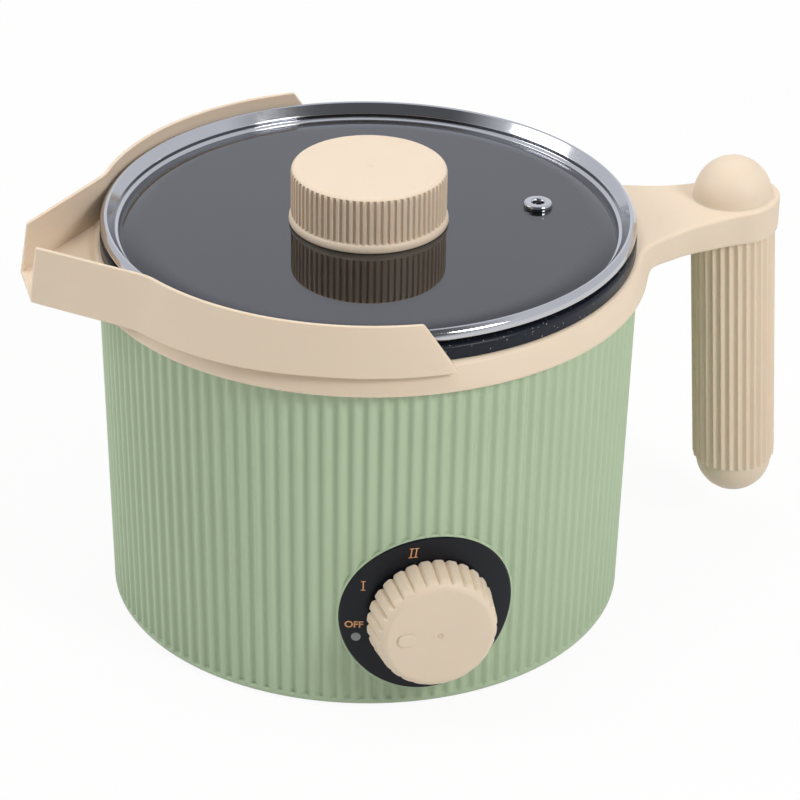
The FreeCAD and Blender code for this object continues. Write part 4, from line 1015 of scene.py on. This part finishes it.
class MELTER_OT_pot(bpy.types.Operator):
    """Black pot with a rounded floor, a ledge for the lid and a thick rim"""
    bl_idname = "melter.pot"
    bl_label = "Inner pot"

    def execute(self, context):
        pot = sizes("pot")
        deck = sizes("collar").deck
        outer = pot.radius + pot.wall
        line = filleted([
            # outside, from the middle of the floor up to the rim
            (0.5 * MM, pot.floor, 0),
            (outer, pot.floor, pot.corner),
            (outer, pot.ledge - 4.2 * MM, 0.5 * MM),
            (pot.neck_outer, pot.ledge - 1.2 * MM, 0.3 * MM),
            (pot.neck_outer, deck, 0),
            (pot.rim_radius, deck, 0.4 * MM),
            (pot.rim_radius, pot.rim_top, 1.2 * MM),
            # inside, over the ledge and down to the middle of the floor
            (pot.neck, pot.rim_top, 0.7 * MM),
            (pot.neck, pot.ledge, 0.3 * MM),
            (pot.radius, pot.ledge, 0.6 * MM),
            (pot.radius, pot.floor + pot.wall, pot.corner - pot.wall),
            (0.5 * MM, pot.floor + pot.wall, 0)], steps=6)
        piece("non_stick_pot", lathe(line, 256, wrap=False), "housing", "non_stick", ["inner_pot"], sharp=30)
        return {"FINISHED"}


# ---------------------------------------------------------------- lid

class MELTER_OT_lid_rim(bpy.types.Operator):
    """Rolled steel rim of the lid"""
    bl_idname = "melter.lid_rim"
    bl_label = "Steel rim"

    def execute(self, context):
        lid = sizes("lid")
        ledge = sizes("pot").ledge
        seat = ledge + lid.sheet
        glass_edge = seat + lid.glass
        inner = lid.channel - lid.sheet
        lip = inner - 1.6 * MM
        crown = lid.channel + 1.7 * MM
        flange = lid.channel - lid.flange
        line = filleted([
            # under the flange and up between channel and roll
            (flange, ledge, 0.2 * MM),
            (lid.channel, ledge, 0.5 * MM),
            (lid.channel, lid.glass_top - 0.2 * MM, 0.4 * MM),
            (crown - 0.1 * MM, lid.crest - 0.6 * MM, 0.4 * MM),
            # inside and foot of the roll
            (lid.radius - 1.3 * MM, lid.crest - 1.2 * MM, 0.8 * MM),
            (lid.radius - lid.sheet, lid.roll_foot + 1.7 * MM, 1 * MM),
            (lid.radius - 1.6 * MM, lid.roll_foot + 0.25 * MM, 0.1 * MM),
            (lid.radius - 1.15 * MM, lid.roll_foot, 0.2 * MM),
            # outside of the roll, over the crown and down to the glass
            (lid.radius, lid.roll_foot + 1.5 * MM, 1.6 * MM),
            (lid.radius - 0.45 * MM, lid.crest - 1.3 * MM, 2.0 * MM),
            (crown + 0.7 * MM, lid.crest + 0.1 * MM, 0.9 * MM),
            (crown - 0.1 * MM, lid.crest - 0.25 * MM, 0.3 * MM),
            (inner - 0.1 * MM, lid.glass_top + 0.2 * MM, 0.7 * MM),
            (inner - 0.2 * MM, lid.glass_top - 1.2 * MM, 0.4 * MM),
            # lip over the glass and the channel that holds it
            (lip + 0.2 * MM, glass_edge + lid.sheet + 0.1 * MM, 0.3 * MM),
            (lip, glass_edge + 0.12 * MM, 0.1 * MM),
            (inner, glass_edge + 0.12 * MM, 0),
            (inner, seat, 0),
            (flange, seat, 0.2 * MM)], closed=True, steps=6)
        piece("rolled_steel_rim", lathe(line, 288), "lid", "polished_steel", ["lid_rim"], sharp=50)
        return {"FINISHED"}


class MELTER_OT_lid_glass(bpy.types.Operator):
    """Smoked glass with a turned-down shoulder"""
    bl_idname = "melter.lid_glass"
    bl_label = "Glass"

    def execute(self, context):
        lid = sizes("lid")
        start = lid.channel - lid.sheet - PLAY - lid.shoulder
        top = [(SCREW_HOLE, lid.glass_top)]
        steps = 14
        bend = 2.2  # above 1, the shoulder starts level and turns down towards the edge
        for step in range(steps + 1):
            share = step / steps
            top.append((start + lid.shoulder * share, lid.glass_top - lid.glass_drop * share ** bend))
        under = [(x, z - lid.glass) for x, z in reversed(top)]
        piece("smoked_glass_disc", lathe(top + under, 256), "lid", "smoked_glass", ["lid_glass"], sharp=40)
        return {"FINISHED"}


def groove(off):
    """Depth share of the lid knob's grooves: steep walls, and a floor nearly as wide as the ribs."""
    return clamped((off - 0.4) / 0.24) ** 0.7


def lid_knob_rows():
    """Outline of the lid knob from its foot to the dimple in its top, as (radius, height, groove depth)."""
    lid = sizes("lid")
    foot = lid.glass_top
    top = foot + lid.knob_height
    flange = foot + lid.knob_flange
    rows = [(5 * MM, foot + 1 * MM, 0), (lid.knob_radius - 1 * MM, foot + 0.02 * MM, 0)]
    for out, rise in ((0.3, 0.0), (0.55, 0.1), (0.7, 0.4), (0.6, 1.5), (0.45, 2.0)):
        rows.append((lid.knob_radius + out * MM, foot + rise * MM, 0))
    edge = 1.8 * MM
    rows += [
        (lid.knob_radius + 0.2 * MM, flange, 0),
        (lid.knob_radius, flange + 0.15 * MM, 0),
        (lid.knob_radius, flange + 0.5 * MM, lid.knob_groove),
        (lid.knob_radius, top - edge - 0.5 * MM, lid.knob_groove)]
    # the grooves run out in an arch over the first part of the rounded edge
    arch = 0.4
    for share in (0.0, 0.1, 0.2, 0.3, 0.4, 0.5, 0.7, 0.85, 1.0):
        turn = share * math.pi / 2
        cut = lid.knob_groove * math.sqrt(max(0.0, 1 - (share / arch) ** 2))
        rows.append((lid.knob_radius - edge * (1 - math.cos(turn)), top - edge * (1 - math.sin(turn)), cut))
    # flat top with the mark of the moulding gate
    rows += [(15 * MM, top + 0.08 * MM, 0), (1.0 * MM, top + 0.12 * MM, 0), (0.7 * MM, top - 0.2 * MM, 0),
             (0.3 * MM, top + 0.1 * MM, 0)]
    return rows


class MELTER_OT_lid_knob(bpy.types.Operator):
    """Grooved knob of the lid"""
    bl_idname = "melter.lid_knob"
    bl_label = "Lid knob"

    def execute(self, context):
        skin = fluted_skin(lid_knob_rows(), flute(10, groove), sizes("lid").knob_flutes)
        piece("grooved_lid_knob", skin, "lid", "beige_plastic", ["lid_knob"], sharp=60)
        return {"FINISHED"}


class MELTER_OT_vent(bpy.types.Operator):
    """Steel eyelet in the glass"""
    bl_idname = "melter.vent"
    bl_label = "Vent eyelet"

    def execute(self, context):
        lid = sizes("lid")
        top = lid.glass_top
        under = top - lid.glass
        bore = 2.0 * MM
        neck = 3.0 * MM
        line = filleted([
            (bore, under - 0.8 * MM, 0.2 * MM),
            (lid.vent_radius - 0.6 * MM, under - 0.8 * MM, 0.3 * MM),
            (lid.vent_radius - 0.6 * MM, under, 0),
            (neck, under, 0),
            (neck, top, 0),
            (lid.vent_radius, top, 0.2 * MM),
            (lid.vent_radius, top + 1.9 * MM, 1.4 * MM),
            (bore, top + 1.9 * MM, 0.9 * MM)], closed=True, steps=8)
        place = Matrix.Translation(polar(lid.vent_distance, lid.vent_angle, 0))
        piece("steel_vent_eyelet", moved(lathe(line, 64), place), "lid", "polished_steel", ["vent_grommet"])
        return {"FINISHED"}


# ---------------------------------------------------------------- handle

def wave(off):
    """Depth share of the grip's flutes: narrow round ribs and wide round valleys."""
    return (0.5 - 0.5 * math.cos(math.pi * off)) ** 0.75


def grip_sleeve(foot, top):
    """Fluted grip from its foot up to the underside of the arm, which crosses it at the tilt."""
    grip = sizes("grip")
    tilt = sizes("collar").tilt
    shares = flute(14, wave)
    rows = [(4 * MM, foot + 1 * MM, 0), (grip.radius - grip.flute_depth - 0.4 * MM, foot, 0)]
    for drop, lift in ((0.9, 0.1), (0.35, 0.5), (0.0, 1.2)):
        rows.append((grip.radius - drop * MM, foot + lift * MM, grip.flute_depth * (1 - drop)))
    rows += [(grip.radius, foot * share, grip.flute_depth) for share in (0.75, 0.5, 0.25)]
    loops = [ring(radius, z, shares, cut, grip.flutes) for radius, z, cut in rows]
    upper = []
    for point in ring(grip.radius, 0, shares, grip.flute_depth, grip.flutes):
        height = (top - point.x * math.sin(tilt)) / math.cos(tilt)
        upper.append(Vector((point.x, point.y, height - 0.02 * MM)))
    return loft(loops + [upper])


def grip_end(foot):
    """Half ball under the grip, with a plug that goes up into it."""
    grip = sizes("grip")
    radius = grip.radius - grip.flute_depth
    plug = radius - 4 * MM
    plug_top = foot + 8 * MM
    line = [(4 * MM, plug_top), (plug, plug_top), (plug, foot), (radius - 0.1 * MM, foot)]
    steps = 20
    for step in range(1, steps):
        turn = math.pi / 2 * step / steps
        line.append((radius * math.cos(turn), foot - radius * math.sin(turn)))
    line.append((0.2 * MM, foot - radius))
    return lathe(line, 96, wrap=False)


def arm_dome():
    """Half ball on the arm, with a thin skirt."""
    radius = sizes("grip").dome
    line = [(6 * MM, 0.01 * MM), (radius + 0.35 * MM, 0.01 * MM), (radius + 0.05 * MM, 0.3 * MM)]
    for step in range(21):
        turn = math.radians(5 + 4 * step)
        line.append((radius * math.cos(turn), radius * math.sin(turn)))
    line.append((0.2 * MM, radius))
    return lathe(line, 128, wrap=False)


class MELTER_OT_grip(bpy.types.Operator):
    """Hanging fluted grip, its round end and the dome on the arm"""
    bl_idname = "melter.grip"
    bl_label = "Grip and dome"

    def execute(self, context):
        collar = sizes("collar")
        # origin on the arm's top at the grip's axis, tilted with the grip
        place = Matrix.Translation((collar.reach, 0, collar.arm_top)) @ Matrix.Rotation(-collar.tilt, 4, "Y")
        top = -(collar.arm_top - collar.low)
        foot = top - sizes("grip").length
        for name, skin, node, sharp in (
                ("fluted_grip", grip_sleeve(foot, top), "grip_sleeve", 60),
                ("grip_round_end", grip_end(foot), "grip_end_cap", 40),
                ("arm_dome", arm_dome(), "dome_cap", 40)):
            piece(name, moved(skin, place), "housing", "beige_plastic", [node], sharp)
        return {"FINISHED"}


# ---------------------------------------------------------------- dial

def plate_skin():
    """Black plate bent to the body, with a rounded edge."""
    dial = sizes("dial")
    rim, proud, back = dial.plate_radius, dial.plate_proud, -2.2 * MM
    line = [(0.5 * MM, proud)] + [(rim * share, proud) for share in (0.25, 0.5, 0.75, 0.9)]
    line += [(rim - 0.5 * MM, proud), (rim - 0.15 * MM, proud - 0.12 * MM), (rim, proud - 0.45 * MM),
             (rim, back), (0.5 * MM, back)]
    return loft([plate_ring(radius, w, 128) for radius, w in line])


def roman_one(height, stem, serif, foot):
    """Outline of a Roman one with serifs, centred."""
    top = height / 2
    half = stem / 2
    right = [(serif / 2, -top), (serif / 2, -top + foot), (half, -top + 1.6 * foot), (half, top - 1.6 * foot),
             (serif / 2, top - foot), (serif / 2, top)]
    return right + [(-x, -y) for x, y in right]


def printed(outline, centre):
    """Printed mark from a closed outline, laid on the bent plate."""
    proud = sizes("dial").plate_proud
    loops = [[on_plate(centre[0] + x, centre[1] + y, proud + w) for x, y in outline]
             for w in (-0.02 * MM, 0.03 * MM)]
    return loft(loops)


def word(text, height, centre):
    """Printed word on the bent plate, from the built-in font."""
    curve = bpy.data.curves.new("word", "FONT")
    curve.body = text
    curve.size = height
    curve.align_x = "CENTER"
    curve.align_y = "CENTER"
    curve.offset = 0.08 * MM
    curve.extrude = 0.025 * MM
    points, faces = evaluated(placed("word", curve))
    bpy.data.curves.remove(curve)
    proud = sizes("dial").plate_proud
    return [on_plate(centre[0] + p.x, centre[1] + p.y, proud + 0.01 * MM + p.z) for p in points], faces


def to_dial():
    """Place of the dial: +Z outward along -Y, +X along X, origin at the knob's foot."""
    dial = sizes("dial")
    back = -(crest(dial.height) + dial.plate_proud + dial.gap)
    return around_to_dial() @ Matrix(((1, 0, 0, 0), (0, 0, -1, back), (0, 1, 0, dial.height), (0, 0, 0, 1)))


def lobe(off):
    """Depth share of the dial knob's grooves: wide round lobes between narrower grooves."""
    return 0.12 * off ** 2 + 0.88 * clamped((off - 0.5) / 0.5) ** 1.5


def dial_knob_rows():
    """Outline of the dial knob from its foot to the dimple in its face, as (radius, height, groove depth)."""
    dial = sizes("dial")
    rows = [(8 * MM, 0.6 * MM, 0), (dial.radius - 2.4 * MM, 0.2 * MM, 0),
            (dial.radius - 1.6 * MM, 0, 0.3 * dial.groove), (dial.radius - 0.2 * MM, 0, dial.groove),
            (dial.radius, 0.25 * MM, dial.groove)]
    straight = 0.66 * dial.depth
    drawn_in = 0.7
    for share in (0.5, 1.0):
        rows.append((dial.radius - dial.draft * share * drawn_in, straight * share, dial.groove))
    side = dial.radius - dial.draft * drawn_in
    rounded = dial.depth - straight
    # over the round shoulder the grooves run out before they reach the face
    run_out = 0.72 * rounded
    steps = 18
    for step in range(1, steps + 1):
        turn = math.pi / 2 * step / steps
        z = straight + rounded * math.sin(turn)
        fade = math.sqrt(max(0.0, 1 - ((z - straight) / run_out) ** 2))
        rows.append((dial.face + (side - dial.face) * math.cos(turn), z, dial.groove * fade))
    # flat face with the mark of the moulding gate
    rows += [(dial.face - 6 * MM, dial.depth, 0), (1.6 * MM, dial.depth, 0),
             (1.1 * MM, dial.depth - 0.03 * MM, 0), (0.8 * MM, dial.depth - 0.45 * MM, 0),
             (0.55 * MM, dial.depth - 0.45 * MM, 0), (0.35 * MM, dial.depth - 0.05 * MM, 0)]
    return rows


def pointer(width, height, rise, centre, base):
    """Raised button with round ends and soft edges, on a face at base."""
    loops = []
    for share in (0.0, 0.4, 0.7, 0.9, 1.0):
        turn = share * math.pi / 2
        draw = 0.55 * MM * (1 - math.cos(turn))
        half_high = height / 2 - draw
        outline = rounded_rectangle(width / 2 - draw, half_high, half_high * 0.9, steps=8)
        lift = base + rise * math.sin(turn)
        loops.append([Vector((centre[0] + p.x, centre[1] + p.y, lift)) for p in outline])
    loops.insert(0, [Vector((p.x, p.y, base - 0.3 * MM)) for p in loops[0]])
    return loft(loops)


class MELTER_OT_dial(bpy.types.Operator):
    """Dial plate with its printed marks, and the fluted dial knob"""
    bl_idname = "melter.dial"
    bl_label = "Dial"

    def execute(self, context):
        dial = sizes("dial")
        piece("bent_dial_plate", plate_skin(), "housing", "gloss_black", ["dial_plate"])
        one = roman_one(height=3.6 * MM, stem=0.38 * MM, serif=1.5 * MM, foot=0.2 * MM)
        lean = 0.13
        leaning = [(x + lean * y, y) for x, y in one]
        marks = [printed(one, (-21.8 * MM, 12.4 * MM)), printed(leaning, (-6.5 * MM, 24.4 * MM)),
                 printed(leaning, (-4.9 * MM, 24.4 * MM)), word("OFF", 3.4 * MM, (-24.6 * MM, -2.9 * MM))]
        piece("printed_marks", joined(*marks), "housing", "beige_plastic", finish=ink())
        knob = fluted_skin(dial_knob_rows(), flute(16, lobe), dial.lobes)
        button = pointer(width=6.2 * MM, height=4.4 * MM, rise=0.7 * MM, centre=(-11.1 * MM, 0),
                         base=dial.depth)
        skin = moved(joined(knob, button), to_dial())
        piece("fluted_dial_knob", skin, "dial", "beige_plastic", ["dial_knob"], sharp=60)
        return {"FINISHED"}


# ---------------------------------------------------------------- finishes of the other pieces

class MELTER_OT_finishes(bpy.types.Operator):
    """Finishes of the pieces that keep their engineering shape"""
    bl_idname = "melter.finishes"
    bl_label = "Other finishes"

    def execute(self, context):
        slots = {row["node"]: row["material_slot"] for row in frame["record"]["subparts"]}
        for name, thing in frame["nodes"].items():
            finish = finish_of(slots[name])
            if not thing.material_slots:
                thing.data.materials.append(finish)
            for place in thing.material_slots:
                place.material = finish
        return {"FINISHED"}


# ---------------------------------------------------------------- stage

def softbox(name, place, aim, size, power):
    """Rectangular lamp that faces a point."""
    data = bpy.data.lights.new(name, "AREA")
    data.shape = "RECTANGLE"
    data.size, data.size_y = size
    data.energy = power
    lamp = placed(name, data)
    lamp.location = place
    lamp.rotation_euler = (Vector(aim) - Vector(place)).to_track_quat("-Z", "Y").to_euler()
    return lamp


def ray_kinds(tree):
    """Whether a ray comes from the camera, and whether it is mirrored by or passes a surface."""
    rays = add(tree, "ShaderNodeLightPath")
    sharp = add(tree, "ShaderNodeMath", {
        0: rays.outputs["Is Glossy Ray"], 1: rays.outputs["Is Transmission Ray"]}, operation="MAXIMUM")
    return rays.outputs["Is Camera Ray"], sharp.outputs[0]


def floor_paper():
    """Seamless studio paper: matt and evenly pale. The camera sees it near white with a soft shadow."""
    made, tree = material("studio_paper_white")
    paper = add(tree, "ShaderNodeBsdfDiffuse", {"Color": opaque(sizes("finishes").floor), "Roughness": 0.5})
    glow = add(tree, "ShaderNodeEmission", {"Strength": 1.0})
    camera, sharp = ray_kinds(tree)
    seen = add(tree, "ShaderNodeMath", {0: sharp, 1: camera}, operation="MAXIMUM")
    share = add(tree, "ShaderNodeMath", {0: seen.outputs[0], 1: 0.93}, operation="MULTIPLY")
    mix = add(tree, "ShaderNodeMixShader", {0: share.outputs[0], 1: paper.outputs[0], 2: glow.outputs[0]})
    add(tree, "ShaderNodeOutputMaterial", {"Surface": mix.outputs[0]})
    return made


def toward(tree, direction, edge, full, outside, inside):
    """Strength that goes from outside to inside as a ray's way nears a direction, between two cosines."""
    way = add(tree, "ShaderNodeTexCoord").outputs["Generated"]
    cosine = add(tree, "ShaderNodeVectorMath", {0: way, 1: direction}, operation="DOT_PRODUCT")
    strength = add(tree, "ShaderNodeMapRange", {
        "Value": cosine.outputs["Value"], "From Min": edge, "From Max": full, "To Min": outside,
        "To Max": inside}, interpolation_type="SMOOTHSTEP")
    return strength.outputs["Result"]


def backdrop_world():
    """Even pale light all round, white to the camera. Metal and glass mirror a white wall at the back and
    a dim space high in front."""
    world = bpy.data.worlds.new("studio_surround")
    bpy.context.scene.world = world
    world.use_nodes = True
    tree = world.node_tree
    tree.nodes.clear()
    camera, sharp = ray_kinds(tree)
    front = toward(tree, (-0.2, -0.78, 0.6), edge=0.5, full=0.85, outside=0.86, inside=0.13)
    room = toward(tree, (0.235, 0.882, 0.408), edge=0.9, full=0.99, outside=front, inside=1.03)
    fill = add(tree, "ShaderNodeMix", {0: sharp, 2: 0.38, 3: room})
    strength = add(tree, "ShaderNodeMath", {0: fill.outputs[0], 1: camera}, operation="MAXIMUM")
    cast = add(tree, "ShaderNodeMix", {0: sharp, "A": opaque((1, 1, 1)), "B": opaque((0.92, 0.94, 1))},
               data_type="RGBA")
    light = add(tree, "ShaderNodeBackground", {
        "Color": cast.outputs["Result"], "Strength": strength.outputs[0]})
    add(tree, "ShaderNodeOutputWorld", {"Surface": light.outputs[0]})


def studio_camera():
    """Camera that looks at the aimed point from its direction and height, with a small roll."""
    studio = sizes("studio")
    data = bpy.data.cameras.new("camera")
    data.lens = studio.lens
    data.sensor_width = SENSOR
    data.clip_end = 20.0
    camera = placed("camera", data)
    turn, rise, roll = studio.turn, studio.rise, studio.roll
    back = Vector((math.sin(turn) * math.cos(rise), -math.cos(turn) * math.cos(rise), math.sin(rise)))
    right = Vector((math.cos(turn), math.sin(turn), 0))
    up = back.cross(right)
    side = right * math.cos(roll) + up * math.sin(roll)
    head = up * math.cos(roll) - right * math.sin(roll)
    camera.matrix_world = Matrix((side, head, back)).transposed().to_4x4()
    camera.location = side * studio.aim_side + Vector((0, 0, studio.aim_height)) + back * studio.distance
    return camera


class MELTER_OT_stage(bpy.types.Operator):
    """Floor, lamps and camera"""
    bl_idname = "melter.stage"
    bl_label = "Stage"

    def execute(self, context):
        context.scene.view_settings.view_transform = "Standard"
        half = 4.0
        corners = [(-half, -half, 0), (half, -half, 0), (half, half, 0), (-half, half, 0)]
        mesh = bpy.data.meshes.new("studio_floor")
        mesh.from_pydata(corners, [], [(0, 1, 2, 3)])
        mesh.materials.append(floor_paper())
        floor = placed("studio_floor", mesh)
        floor.location.z = -0.1 * MM
        backdrop_world()
        softbox("key_right", (0.56, -0.84, 0.8), (0, 0, 0.07), (0.35, 0.35), 6.9)
        softbox("top", (0.0, 0.15, 1.2), (0, 0, 0.1), (0.9, 0.9), 6.6).visible_glossy = False
        softbox("edge_left", (-1.0, 0.3, 0.62), (0, 0, 0.07), (0.5, 0.6), 4.4)
        context.scene.camera = studio_camera()
        return {"FINISHED"}


# ---------------------------------------------------------------- panel and registration

OPERATORS = (
    MELTER_OT_body, MELTER_OT_collar, MELTER_OT_spout, MELTER_OT_pot, MELTER_OT_lid_rim, MELTER_OT_lid_glass,
    MELTER_OT_lid_knob, MELTER_OT_vent, MELTER_OT_grip, MELTER_OT_dial, MELTER_OT_finishes, MELTER_OT_stage)


class MELTER_PT_panel(bpy.types.Panel):
    """Lists the pieces of the wax melter"""
    bl_idname = "MELTER_PT_panel"
    bl_label = "Wax melter"
    bl_space_type = "VIEW_3D"
    bl_region_type = "UI"
    bl_category = "Wax melter"

    def draw(self, context):
        column = self.layout.column()
        for operator in OPERATORS:
            column.operator(operator.bl_idname)


def register():
    for group in GROUPS.values():
        bpy.utils.register_class(group)
    for name, group in GROUPS.items():
        setattr(bpy.types.Scene, name, PointerProperty(type=group))
    for operator in OPERATORS:
        bpy.utils.register_class(operator)
    bpy.utils.register_class(MELTER_PT_panel)


def unregister():
    bpy.utils.unregister_class(MELTER_PT_panel)
    for operator in reversed(OPERATORS):
        bpy.utils.unregister_class(operator)
    for name in GROUPS:
        delattr(bpy.types.Scene, name)
    for group in reversed(list(GROUPS.values())):
        bpy.utils.unregister_class(group)


def main():
    """Builds every piece."""
    register()
    for operator in OPERATORS:
        group, action = operator.bl_idname.split(".")
        getattr(getattr(bpy.ops, group), action)()


if __name__ == "__main__":
    main()
